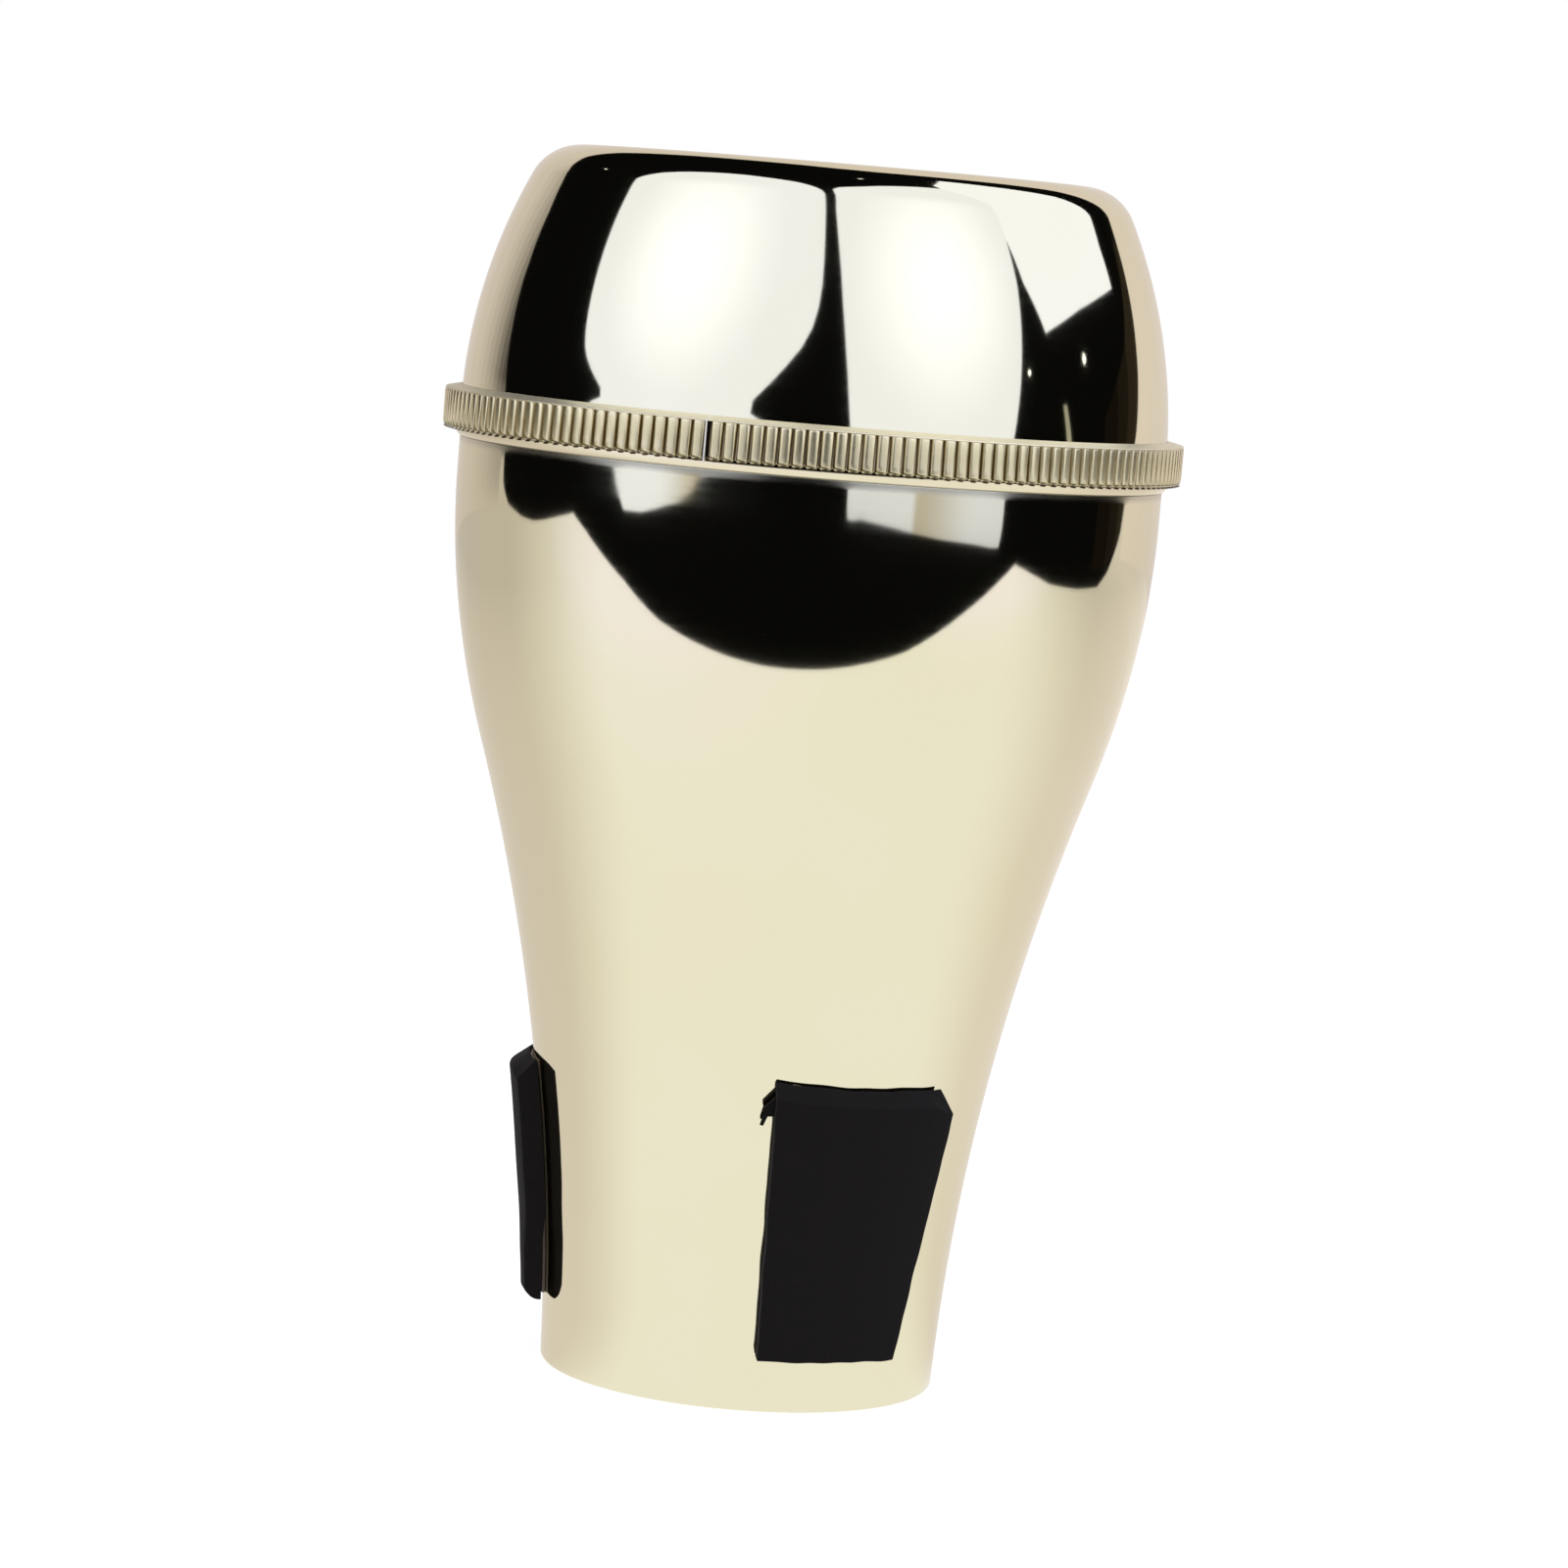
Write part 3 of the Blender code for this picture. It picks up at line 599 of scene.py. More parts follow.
# The screw joint: two turned brass rings with a coarse thread. The male collar is soldered inside
# the body's upper edge, and the female ring to the cap. The ring's lip shows under the band.
COLLAR_RADIUS = 53.85 * MM
COLLAR_BORE = 51.45 * MM
COLLAR_TOP = 149.6 * MM
THREAD_CORE = 52.85 * MM
THREAD_CREST = 53.55 * MM
THREAD_PITCH = 1.5 * MM
THREAD_TURNS = 2.75
THREAD_START = 144.95 * MM
THREAD_CLEARANCE = 0.3 * MM
FLANK_AT_ROOT = 0.37 * MM
FLANK_AT_CREST = 0.16 * MM
RIDGE_ROOT = 0.3 * MM
RING_BORE = 53.85 * MM
RING_RADIUS = 55.25 * MM
RING_BOTTOM = 144.05 * MM
RING_STEP = 150.6 * MM
RING_TOP = 154.6 * MM
SPIGOT_RADIUS = 53.87 * MM
SPIGOT_BORE = 52.57 * MM
RECESS_RADIUS = 52.65 * MM
RECESS_BOTTOM = 149.9 * MM
LEDGE_BOTTOM = 151.2 * MM
LEDGE_TOP = 152.4 * MM
EDGE_BREAK = 0.25 * MM
LIP_BEND = 2.1 * MM
LIP_BOTTOM = 144.15 * MM
LIP_FLARE = 0.25 * MM
LIP_EDGE = 0.03 * MM
LIP_FOOT = 54.85 * MM
LIP_TURN = (-8.0, -45.0)
LIP_MIDDLE = -18.0
RING_PALE = (0.83, 0.78, 0.60)
RING_DEEP = (0.78, 0.69, 0.48)
RING_ROUGH = 0.10


def cut_thread(name, root, crest, sunk, start_angle):
    """A ridge with sloping flanks, drawn once as an outline and wound up as a right-hand helix."""
    corners = ((sunk, -FLANK_AT_ROOT), (root, -FLANK_AT_ROOT), (crest, -FLANK_AT_CREST))
    corners += ((crest, FLANK_AT_CREST), (root, FLANK_AT_ROOT), (sunk, FLANK_AT_ROOT))
    bpy.ops.object.select_all(action="DESELECT")
    bpy.ops.mesh.primitive_circle_add(vertices=len(corners))
    ridge = bpy.context.active_object
    ridge.name = name
    for vert, (radius, rise) in zip(ridge.data.vertices, corners):
        vert.co = Matrix.Rotation(start_angle, 3, "Z") @ Vector((radius, 0.0, THREAD_START + rise))
    winding = ridge.modifiers.new("winding", "SCREW")
    winding.angle = math.tau * THREAD_TURNS
    winding.screw_offset = THREAD_PITCH * THREAD_TURNS
    winding.steps = round(LATHE_STEPS / 2 * THREAD_TURNS)
    winding.render_steps = winding.steps
    bpy.ops.object.modifier_apply(modifier="winding")
    bpy.ops.object.mode_set(mode="EDIT")
    bpy.ops.mesh.select_all(action="SELECT")
    bpy.ops.mesh.fill_holes(sides=len(corners))
    bpy.ops.mesh.normals_make_consistent(inside=False)
    bpy.ops.object.mode_set(mode="OBJECT")
    return ridge


def join_thread(ring, ridge):
    """The ridge becomes part of its ring."""
    union = ring.modifiers.new("thread", "BOOLEAN")
    union.operation = "UNION"
    union.solver = "EXACT"
    union.object = ridge
    bpy.ops.object.select_all(action="DESELECT")
    bpy.context.view_layer.objects.active = ring
    bpy.ops.object.modifier_apply(modifier="thread")
    bpy.data.objects.remove(ridge)
    bpy.ops.object.shade_smooth_by_angle(angle=SHARP_EDGE)


half_step = math.pi / LATHE_STEPS

outline = [(THREAD_CORE, BODY_HEIGHT), (COLLAR_RADIUS, BODY_HEIGHT), (COLLAR_RADIUS, BULB_HEIGHT)]
outline += [(COLLAR_BORE + EDGE_BREAK, BULB_HEIGHT), (COLLAR_BORE, BULB_HEIGHT + EDGE_BREAK)]
outline += [(COLLAR_BORE, COLLAR_TOP - EDGE_BREAK), (COLLAR_BORE + EDGE_BREAK, COLLAR_TOP)]
outline += [(THREAD_CORE - EDGE_BREAK, COLLAR_TOP), (THREAD_CORE, COLLAR_TOP - EDGE_BREAK)]
collar = turn("male_collar", outline)
ridge = cut_thread("male_thread", THREAD_CORE, THREAD_CREST, THREAD_CORE - RIDGE_ROOT, half_step)
join_thread(collar, ridge)
collar.data.materials.append(polished_brass("collar_brass", RING_PALE, RING_DEEP, RING_ROUGH))
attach(collar, "mute_body")
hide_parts("threaded_collar")

lip_centre = (
    RING_RADIUS + LIP_FLARE - LIP_BEND * math.cos(math.radians(LIP_MIDDLE)),
    LIP_BOTTOM - LIP_BEND * math.sin(math.radians(LIP_TURN[1])),
)
lip = arc(lip_centre, LIP_BEND, LIP_TURN[0], LIP_TURN[1], 10)
outline = [(SPIGOT_RADIUS, RING_TOP), (SPIGOT_RADIUS, RING_STEP), (RING_RADIUS, RING_STEP)]
outline += [(RING_RADIUS, lip[0][1] + LIP_FLARE)] + lip
outline += [(LIP_FOOT, LIP_BOTTOM - LIP_EDGE), (LIP_FOOT, RING_BOTTOM + LIP_EDGE)]
outline += [(LIP_FOOT - LIP_EDGE, RING_BOTTOM)]
outline += [(RING_BORE, RING_BOTTOM), (RING_BORE, RECESS_BOTTOM), (RECESS_RADIUS, RECESS_BOTTOM)]
outline += [(RECESS_RADIUS, LEDGE_BOTTOM), (COLLAR_BORE, LEDGE_BOTTOM), (COLLAR_BORE, LEDGE_TOP)]
outline += [(SPIGOT_BORE, LEDGE_TOP), (SPIGOT_BORE, RING_TOP)]
ring = turn("female_ring", outline)
crest = THREAD_CORE + THREAD_CLEARANCE
ridge = cut_thread("female_thread", RING_BORE, crest, RING_BORE + RIDGE_ROOT, math.pi + half_step)
join_thread(ring, ridge)
ring_brass = polished_brass("ring_brass", RING_PALE, RING_DEEP, RING_ROUGH)
# Below its lip the ring is satin too, in the same grey of painted shade.
leave_satin_and_shade(ring_brass, LIP_BOTTOM - LIP_EDGE, LIP_BOTTOM)
ring.data.materials.append(ring_brass)
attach(ring, "cap")
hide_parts("threaded_ring")

# The washer is a flat ring of black rubber, cut with a punch, between the collar's top and the ring.
WASHER_RADIUS = 52.35 * MM
WASHER_BOTTOM = 149.9 * MM
WASHER_TOP = 150.9 * MM
WASHER_ROUNDING = 0.15 * MM


def soft_black(name, colour, grain, depth):
    """A dull black stuff: fine pores or grain, and a tone and dullness that vary in soft clouds."""
    material = bpy.data.materials.new(name)
    material.use_nodes = True
    tree = material.node_tree
    shader = tree.nodes["Principled BSDF"]
    shader.inputs["Specular IOR Level"].default_value = 0.15
    shader.inputs["Sheen Weight"].default_value = 0.02
    place = add_node(tree, "ShaderNodeTexCoord")
    pores = add_node(tree, "ShaderNodeTexVoronoi")
    pores.inputs["Scale"].default_value = 1.0 / grain
    link(tree, place.outputs["Object"], pores.inputs["Vector"])
    clouds = add_node(tree, "ShaderNodeTexNoise")
    clouds.inputs["Scale"].default_value = 0.12 / grain
    clouds.inputs["Detail"].default_value = 5.0
    link(tree, place.outputs["Object"], clouds.inputs["Vector"])
    tint = add_node(tree, "ShaderNodeMix", data_type="RGBA")
    tint.inputs["A"].default_value = (*[part * 0.75 for part in colour], 1.0)
    tint.inputs["B"].default_value = (*[part * 1.5 for part in colour], 1.0)
    link(tree, clouds.outputs["Fac"], tint.inputs["Factor"])
    link(tree, tint.outputs["Result"], shader.inputs["Base Color"])
    dull = add_node(tree, "ShaderNodeMapRange")
    dull.inputs["To Min"].default_value = 0.82
    dull.inputs["To Max"].default_value = 1.0
    link(tree, clouds.outputs["Fac"], dull.inputs["Value"])
    link(tree, dull.outputs["Result"], shader.inputs["Roughness"])
    pits = add_node(tree, "ShaderNodeBump")
    pits.inputs["Strength"].default_value = 0.6
    pits.inputs["Distance"].default_value = depth
    link(tree, pores.outputs["Distance"], pits.inputs["Height"])
    link(tree, pits.outputs["Normal"], shader.inputs["Normal"])
    return material


low, high = WASHER_BOTTOM + WASHER_ROUNDING, WASHER_TOP - WASHER_ROUNDING
outer, inner = WASHER_RADIUS - WASHER_ROUNDING, COLLAR_BORE + WASHER_ROUNDING
outline = arc((outer, high), WASHER_ROUNDING, 90.0, 0.0, 3)
outline += arc((outer, low), WASHER_ROUNDING, 0.0, -90.0, 3)
outline += arc((inner, low), WASHER_ROUNDING, -90.0, -180.0, 3)
outline += arc((inner, high), WASHER_ROUNDING, 180.0, 90.0, 3)
washer = turn("rubber_washer", outline)
washer.data.materials.append(soft_black("rubber", (0.02, 0.02, 0.02), 0.4 * MM, 0.02 * MM))
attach(washer, "seal")
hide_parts("sealing_washer")

# The grip is a reeded strip, bent round the joint. Its ends meet in a butt seam left of the front. The
# reeds are rolled flat-faced with round feet, and the grooves between them are darker: partly dirt, partly
# painted shade. A low bead of solder closes the corner between its top and the cap.
BAND_BOTTOM = 145.25 * MM
BAND_TOP = 151.4 * MM
BAND_BORE = 55.55 * MM
BAND_RADIUS = 57.55 * MM
BAND_ROUNDING = 0.25 * MM
RIM_SUNK = 0.04 * MM
RIM_ROUNDING = 0.2 * MM
RIM_HEIGHT = 0.22 * MM
RIM_FOOT = 0.4 * MM
BEAD_BORE = 54.98 * MM
BEAD_FOOT = 151.1 * MM
BEAD_TOP = 151.93 * MM
REED_COUNT = 176
REED_DEPTH = 0.75 * MM
REED_SUNK = 0.1 * MM
REED_GAP = 0.07 * MM
REED_FOOT = 0.42
REED_EDGE = 0.62 * MM
REED_HANG = 0.5 * MM
SEAM_ANGLE = -15.6
SEAM_SLIT = 0.4 * MM
SEAM_BAR = 0.32 * MM
# The reeds' colour by height: a painted shadow under the feet, then painted highlights near the feet and
# along the rim. The bead of solder takes the rim's highlight colour too.
REED_SHADOW_AND_HIGHLIGHTS = (
    (0.0, (0.03, 0.02, 0.01)), (0.02, (0.03, 0.02, 0.01)), (0.08, (0.82, 0.74, 0.47)),
    (0.25, (0.87, 0.78, 0.5)), (0.5, (0.78, 0.69, 0.41)), (0.75, (0.77, 0.68, 0.4)),
    (0.9, (0.82, 0.73, 0.45)), (1.0, (0.95, 0.88, 0.64)),
)
# Down in the grooves and up their flanks the colour is darker: partly dirt, partly painted shade where the
# reeds hide each other.
GROOVE_DIRT_AND_SHADE = (0.4, 0.33, 0.2, 1.0)
GROOVE_DEEP = 0.66 * MM
# The seam's solder is painted near white: partly its own pale colour, partly a painted highlight.
SOLDER_HIGHLIGHT = (1.0, 0.97, 0.86, 1.0)
# The seam's slit is painted near black: painted shade in the gap.
SLIT_SHADE = (0.02, 0.015, 0.01, 1.0)

groove_radius = BAND_RADIUS - REED_DEPTH
rim_radius = BAND_RADIUS - RIM_SUNK
floor_bottom = BAND_BOTTOM + REED_HANG
outline = [(BAND_BORE, BEAD_FOOT), (BEAD_BORE, BEAD_FOOT), (BEAD_BORE, BEAD_TOP)]
outline += arc((rim_radius - RIM_ROUNDING, BAND_TOP - RIM_ROUNDING), RIM_ROUNDING, 90.0, 0.0, 5)
outline += [(rim_radius, BAND_TOP - RIM_HEIGHT), (groove_radius, BAND_TOP - RIM_FOOT)]
outline += [(groove_radius, floor_bottom + BAND_ROUNDING)]
outline += [(groove_radius - BAND_ROUNDING, floor_bottom), (BAND_BORE, floor_bottom)]
band = turn("reeded_band", outline)

seam = math.radians(SEAM_ANGLE)
step = (math.tau - (SEAM_SLIT + SEAM_BAR) / groove_radius) / REED_COUNT
reed_width = step * groove_radius - REED_GAP
band_middle = (BAND_TOP + BAND_BOTTOM) / 2
band_height = BAND_TOP - BAND_BOTTOM
reed_place = (0.0, -groove_radius + (REED_SUNK - REED_DEPTH) / 2, band_middle)


def pick_edges(piece, wanted):
    """Selects the edges whose two ends pass a test, ready for an edit."""
    bpy.ops.object.mode_set(mode="EDIT")
    bpy.ops.mesh.select_all(action="DESELECT")
    bpy.ops.object.mode_set(mode="OBJECT")
    verts = piece.data.vertices
    for edge in piece.data.edges:
        edge.select = wanted(verts[edge.vertices[0]].co, verts[edge.vertices[1]].co)
    bpy.ops.object.mode_set(mode="EDIT")


def add_block(name, width, place):
    """A square-edged block as deep and tall as a reed, with its place in its mesh."""
    bpy.ops.object.select_all(action="DESELECT")
    bpy.ops.mesh.primitive_cube_add(size=1.0)
    block = bpy.context.active_object
    block.name = name
    bpy.ops.object.mode_set(mode="EDIT")
    bpy.ops.mesh.select_all(action="SELECT")
    bpy.ops.transform.resize(value=(width, REED_DEPTH + REED_SUNK, band_height))
    bpy.ops.transform.translate(value=place)
    bpy.ops.object.mode_set(mode="OBJECT")
    return block


reed = add_block("reed", reed_width, reed_place)
front = -BAND_RADIUS + WELD
foot = BAND_BOTTOM + WELD
pick_edges(reed, lambda one, two: max(one.z, two.z) < foot and abs(one.y - two.y) > WELD)
bpy.ops.mesh.bevel(offset=reed_width * REED_FOOT, segments=4)
pick_edges(reed, lambda one, two: max(one.y, two.y) < front)
bpy.ops.mesh.bevel(offset=REED_EDGE, segments=4)
bpy.ops.mesh.select_all(action="SELECT")
bpy.ops.mesh.normals_make_consistent(inside=False)
first = seam + SEAM_SLIT / groove_radius + step / 2
bpy.ops.transform.rotate(value=-first, orient_axis="Z", center_override=(0.0, 0.0, 0.0))
bpy.ops.mesh.spin(
    steps=REED_COUNT - 1,
    dupli=True,
    angle=-step * (REED_COUNT - 1),
    center=(0.0, 0.0, 0.0),
    axis=(0.0, 0.0, 1.0),
)
bpy.ops.object.mode_set(mode="OBJECT")
bpy.ops.object.shade_smooth_by_angle(angle=math.radians(50.0))

bar = add_block("seam_bar", SEAM_BAR, reed_place)
pick_edges(bar, lambda one, two: max(one.y, two.y) < front)
bpy.ops.mesh.bevel(offset=0.08 * MM, segments=2)
bpy.ops.mesh.select_all(action="SELECT")
bar_angle = seam - SEAM_BAR / 2 / groove_radius
slit_angle = seam + SEAM_SLIT / 2 / groove_radius
bpy.ops.transform.rotate(value=-bar_angle, orient_axis="Z", center_override=(0.0, 0.0, 0.0))
bpy.ops.object.mode_set(mode="OBJECT")


def paint_sector(tree, below, turned, middle, width, colour):
    """A colour laid over another, which is a socket or a value, in a narrow sector of the band."""
    layer = add_node(tree, "ShaderNodeMix", data_type="RGBA")
    if isinstance(below, tuple):
        layer.inputs["A"].default_value = below
    else:
        link(tree, below, layer.inputs["A"])
    layer.inputs["B"].default_value = colour
    inside = add_sum(tree, "COMPARE", turned, middle, width / 2 / groove_radius)
    link(tree, inside, layer.inputs["Factor"])
    return layer.outputs["Result"]


def band_metal():
    """The strip's brass, brushed round and round by the lathe's cloth. Its colour by height paints a shadow
    under the reeds' feet and highlights near the feet and along the rim and bead. Down in the grooves it is
    darker: partly dirt, partly painted shade.
    The solder in the seam is painted near white, partly as its highlight, and the slit beside it near black,
    as its shade."""
    material = bpy.data.materials.new("reeded_brass")
    material.use_nodes = True
    tree = material.node_tree
    shader = tree.nodes["Principled BSDF"]
    shader.inputs["Metallic"].default_value = 1.0
    place = add_node(tree, "ShaderNodeTexCoord")
    flat = add_node(tree, "ShaderNodeVectorMath", operation="MULTIPLY")
    flat.inputs[1].default_value = (1.0, 1.0, 0.0)
    link(tree, place.outputs["Object"], flat.inputs[0])
    reach = add_node(tree, "ShaderNodeVectorMath", operation="LENGTH")
    link(tree, flat.outputs["Vector"], reach.inputs[0])
    depth = add_node(tree, "ShaderNodeMapRange")
    depth.inputs["From Min"].default_value = groove_radius
    depth.inputs["From Max"].default_value = groove_radius + GROOVE_DEEP
    link(tree, reach.outputs["Value"], depth.inputs["Value"])
    split = add_node(tree, "ShaderNodeSeparateXYZ")
    link(tree, place.outputs["Object"], split.inputs["Vector"])
    back = add_sum(tree, "MULTIPLY", split.outputs["Y"], -1.0)
    turned = add_sum(tree, "ARCTAN2", split.outputs["X"], back)
    up = add_node(tree, "ShaderNodeMapRange")
    up.inputs["From Min"].default_value = BAND_BOTTOM
    up.inputs["From Max"].default_value = BAND_TOP
    link(tree, split.outputs["Z"], up.inputs["Value"])
    # This ramp paints a shadow under the reeds' feet and highlights near the feet and at the rim.
    shadow_and_highlights = add_node(tree, "ShaderNodeValToRGB")
    stops = shadow_and_highlights.color_ramp.elements
    while len(stops) < len(REED_SHADOW_AND_HIGHLIGHTS):
        stops.new(0.5)
    for stop, (share, colour) in zip(stops, REED_SHADOW_AND_HIGHLIGHTS):
        stop.position = share
        stop.color = (*colour, 1.0)
    link(tree, up.outputs["Result"], shadow_and_highlights.inputs["Fac"])
    tint = add_node(tree, "ShaderNodeMix", data_type="RGBA")
    # The grooves' dirt and painted shade, with the seam's slit painted near black as its shade.
    dirt_and_shade = paint_sector(tree, GROOVE_DIRT_AND_SHADE, turned, slit_angle, SEAM_SLIT, SLIT_SHADE)
    link(tree, dirt_and_shade, tint.inputs["A"])
    link(tree, shadow_and_highlights.outputs["Color"], tint.inputs["B"])
    at_rim = add_node(tree, "ShaderNodeMapRange")
    at_rim.inputs["From Min"].default_value = BAND_TOP - RIM_FOOT
    at_rim.inputs["From Max"].default_value = BAND_TOP - RIM_HEIGHT
    link(tree, split.outputs["Z"], at_rim.inputs["Value"])
    on_reed_face = add_node(tree, "ShaderNodeMath", operation="MAXIMUM")
    link(tree, depth.outputs["Result"], on_reed_face.inputs[0])
    link(tree, at_rim.outputs["Result"], on_reed_face.inputs[1])
    link(tree, on_reed_face.outputs["Value"], tint.inputs["Factor"])
    # The seam bar takes the solder's pale colour with its painted highlight.
    finish = paint_sector(tree, tint.outputs["Result"], turned, bar_angle, SEAM_BAR, SOLDER_HIGHLIGHT)
    link(tree, finish, shader.inputs["Base Color"])
    grain = add_node(tree, "ShaderNodeTexNoise")
    grain.inputs["Scale"].default_value = 1800.0
    grain.inputs["Detail"].default_value = 3.0
    link(tree, place.outputs["Object"], grain.inputs["Vector"])
    rub = add_node(tree, "ShaderNodeMapRange")
    rub.inputs["To Min"].default_value = 0.24
    rub.inputs["To Max"].default_value = 0.38
    link(tree, grain.outputs["Fac"], rub.inputs["Value"])
    duller = add_node(tree, "ShaderNodeMix", data_type="FLOAT")
    duller.inputs["B"].default_value = 0.5
    link(tree, rub.outputs["Result"], duller.inputs["A"])
    link(tree, at_rim.outputs["Result"], duller.inputs["Factor"])
    link(tree, duller.outputs["Result"], shader.inputs["Roughness"])
    brushed = add_node(tree, "ShaderNodeTangent", direction_type="RADIAL", axis="Z")
    link(tree, brushed.outputs["Tangent"], shader.inputs["Tangent"])
    shader.inputs["Anisotropic Rotation"].default_value = 0.25
    strokes = add_node(tree, "ShaderNodeMapRange")
    strokes.inputs["To Min"].default_value = 0.9
    strokes.inputs["To Max"].default_value = 0.0
    link(tree, at_rim.outputs["Result"], strokes.inputs["Value"])
    link(tree, strokes.outputs["Result"], shader.inputs["Anisotropic"])
    bump = add_node(tree, "ShaderNodeBump")
    bump.inputs["Strength"].default_value = 0.4
    bump.inputs["Distance"].default_value = 0.02 * MM
    link(tree, grain.outputs["Fac"], bump.inputs["Height"])
    link(tree, bump.outputs["Normal"], shader.inputs["Normal"])
    return material


bpy.ops.object.select_all(action="DESELECT")
reed.select_set(True)
bar.select_set(True)
band.select_set(True)
bpy.context.view_layer.objects.active = band
bpy.ops.object.join()
band.data.materials.append(band_metal())
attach(band, "cap")
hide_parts("knurled_band")

# The pads are blocks of black closed-cell foam, cut by hand with a knife and stuck round the throat
# with double-sided tape. Their top faces slope, and their edges run a little unevenly.
PAD_FOOT = 9.0 * MM
PAD_TOP = 51.3 * MM
PAD_SLOPE = 2.3 * MM
PAD_INNER = 0.6 * MM
PAD_COLUMNS = 40
PAD_ROWS = 56
PAD_LAYERS = 5
PAD_EDGE = 0.15 * MM
CUT_WAVE = 0.22 * MM
CUT_WAVE_LENGTH = 5.0 * MM
WAVE_SPAN = 30.0 * MM
TAPE_INNER = 0.1 * MM
TAPE_OUTER = 0.5 * MM
TAPE_INSET = (2.6 * MM, 0.6 * MM)


def bow(share, foot, middle, top):
    """The value at a share of the height, on the curve through three values."""
    return foot + share * (4 * middle - top - 3 * foot) + share**2 * 2 * (foot + top - 2 * middle)


def wobble(along, seed):
    """A knife cut's unevenness."""
    return CUT_WAVE * noise.noise(Vector((along / CUT_WAVE_LENGTH, seed, 0.0)))


def swell(value, start, end):
    """Zero up to start and one from end on, with a soft run between."""
    share = min(max((value - start) / (end - start), 0.0), 1.0)
    return share * share * (3.0 - 2.0 * share)


def place_on_throat(angle, height, offset):
    """A point at an offset from the throat's metal."""
    radius = body_radius(height) + offset
    return Vector((radius * math.sin(angle), -radius * math.cos(angle), height))


def wrap_slab(name, shape, inner, outer, slope, inset, layers):
    """A grid drawn up into a slab, cut to the pad's sides, foot and top, and bent round the throat."""
    bpy.ops.object.select_all(action="DESELECT")
    bpy.ops.mesh.primitive_grid_add(x_subdivisions=PAD_COLUMNS, y_subdivisions=PAD_ROWS, size=1.0)
    slab = bpy.context.active_object
    slab.name = name
    bpy.ops.object.mode_set(mode="EDIT")
    bpy.ops.mesh.select_all(action="SELECT")
    for layer in range(layers):
        bpy.ops.mesh.extrude_region_move(TRANSFORM_OT_translate={"value": (0.0, 0.0, 1.0 / layers)})
    bpy.ops.mesh.select_all(action="SELECT")
    bpy.ops.mesh.normals_make_consistent(inside=False)
    bpy.ops.object.mode_set(mode="OBJECT")
    for vert in slab.data.vertices:
        across, up, out = vert.co.x + 0.5, vert.co.y + 0.5, vert.co.z
        seed = shape["seed"]
        foot = shape.get("foot", PAD_FOOT) + inset[1] + wobble(across * WAVE_SPAN, seed + 2.0)
        top = shape.get("top", PAD_TOP) - inset[1] + wobble(across * WAVE_SPAN, seed + 1.0)
        top += shape.get("left_rise", 0.0) * (1.0 - across) ** 3
        if slope:
            foot += shape.get("foot_rise", 0.0) * out**3
            top -= slope * out + shape.get("clip", 0.0) * out * swell(across, 0.86, 1.0)
        height = foot + (top - foot) * up
        surface = body_radius(height)
        start = math.radians(bow(up, *shape["left"])) + (inset[0] + wobble(height, seed + 3.0)) / surface
        end = math.radians(bow(up, *shape["right"])) - (inset[0] + wobble(height, seed + 4.0)) / surface
        offset = inner + (outer - inner) * out
        if slope:
            low = 1.0 - swell(height, 17.0 * MM, 25.0 * MM)
            offset += shape.get("peel", 0.0) * low * swell(across, 0.5, 1.0)
            offset -= shape.get("thin_foot", 0.0) * out * (1.0 - swell(height, 10.0 * MM, 34.0 * MM))
        vert.co = place_on_throat(start + (end - start) * across, height, offset)
    bpy.ops.object.mode_set(mode="EDIT")
    bpy.ops.mesh.select_all(action="DESELECT")
    if slope:
        bpy.ops.mesh.edges_select_sharp(sharpness=math.radians(50.0))
        bpy.ops.mesh.bevel(offset=PAD_EDGE, segments=2)
    bpy.ops.object.mode_set(mode="OBJECT")
    bpy.ops.object.shade_smooth_by_angle(angle=SHARP_EDGE)
    return slab


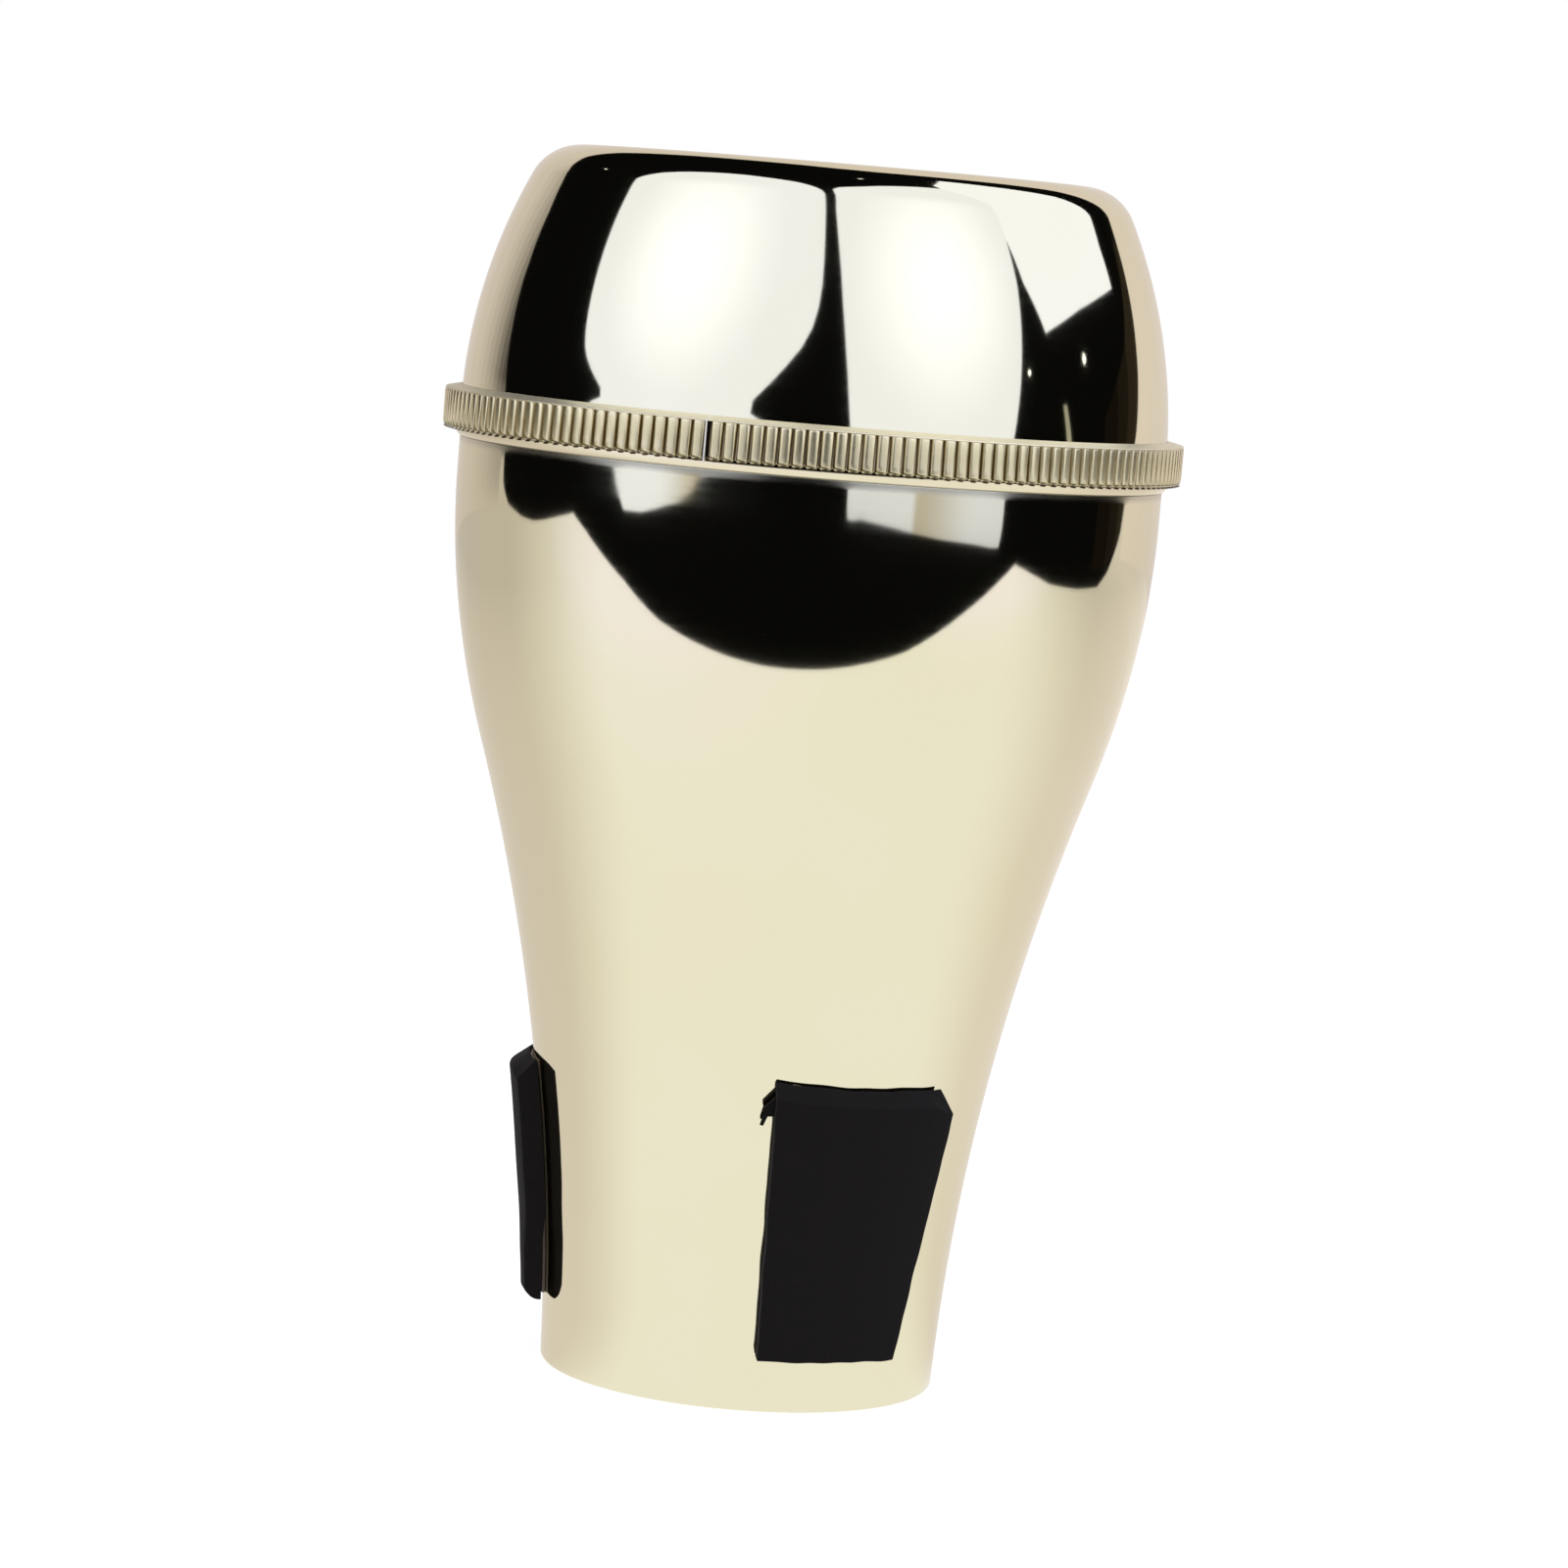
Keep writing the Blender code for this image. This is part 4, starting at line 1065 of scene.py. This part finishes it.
PADS = {
    "front": {
        "left": (5.2, 4.7, 4.2), "right": (42.4, 46.6, 48.8), "thick": 3.7 * MM,
        "left_rise": 1.0 * MM, "clip": 1.1 * MM, "seed": 1.0,
    },
    "left": {
        "left": (-109.0, -113.5, -116.0), "right": (-72.7, -72.0, -72.5), "thick": 3.4 * MM,
        "foot": 10.3 * MM, "top": 48.4 * MM, "clip": 0.8 * MM, "thin_foot": 0.7 * MM,
        "foot_rise": 1.8 * MM, "peel": 0.6 * MM, "seed": 6.0,
    },
    "rear": {"left": (127.0, 124.5, 123.5), "right": (165.0, 167.5, 168.5), "thick": 3.4 * MM, "seed": 11.0},
}
foam = soft_black("pad_foam", (0.0062, 0.0049, 0.0042), 0.35 * MM, 0.03 * MM)
pads = {}
for place, shape in PADS.items():
    outer = PAD_INNER + shape["thick"]
    pads[place] = wrap_slab(place + "_pad", shape, PAD_INNER, outer, PAD_SLOPE, (0.0, 0.0), PAD_LAYERS)

# A shred of foam that the knife left hangs from the front pad's upper left corner.
SHRED_OUTLINE = (
    (5.4, 50.9), (2.9, 49.2), (1.3, 48.1), (1.7, 47.3), (1.0, 45.6), (1.8, 45.5), (2.7, 47.0), (5.4, 47.1),
)
SHRED_INNER = 1.2 * MM
SHRED_THICKNESS = 1.1 * MM
bpy.ops.object.select_all(action="DESELECT")
bpy.ops.mesh.primitive_circle_add(vertices=len(SHRED_OUTLINE), fill_type="NGON")
shred = bpy.context.active_object
shred.name = "shred"
for vert, (angle, height) in zip(shred.data.vertices, SHRED_OUTLINE):
    vert.co = place_on_throat(math.radians(angle), height * MM, SHRED_INNER)
bpy.ops.object.mode_set(mode="EDIT")
bpy.ops.mesh.select_all(action="SELECT")
bpy.ops.mesh.extrude_region_move(TRANSFORM_OT_translate={"value": (0.0, -SHRED_THICKNESS, 0.0)})
bpy.ops.mesh.select_all(action="SELECT")
bpy.ops.mesh.normals_make_consistent(inside=False)
bpy.ops.object.mode_set(mode="OBJECT")
pads["front"].select_set(True)
bpy.context.view_layer.objects.active = pads["front"]
bpy.ops.object.join()

for place, pad in pads.items():
    pad.data.materials.append(foam)
    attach(pad, "mute_body")
    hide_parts(place + "_foam_pad")

# Each pad's tape is a thin brown film with glue on both faces, a little smaller than its pad.
film = soft_black("tape_film", (0.26, 0.21, 0.16), 0.8 * MM, 0.01 * MM)
for place, shape in PADS.items():
    tape = wrap_slab(place + "_tape", shape, TAPE_INNER, TAPE_OUTER, 0.0, TAPE_INSET, 1)
    tape.data.materials.append(film)
    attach(tape, "mute_body")
    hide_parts(place + "_pad_tape")
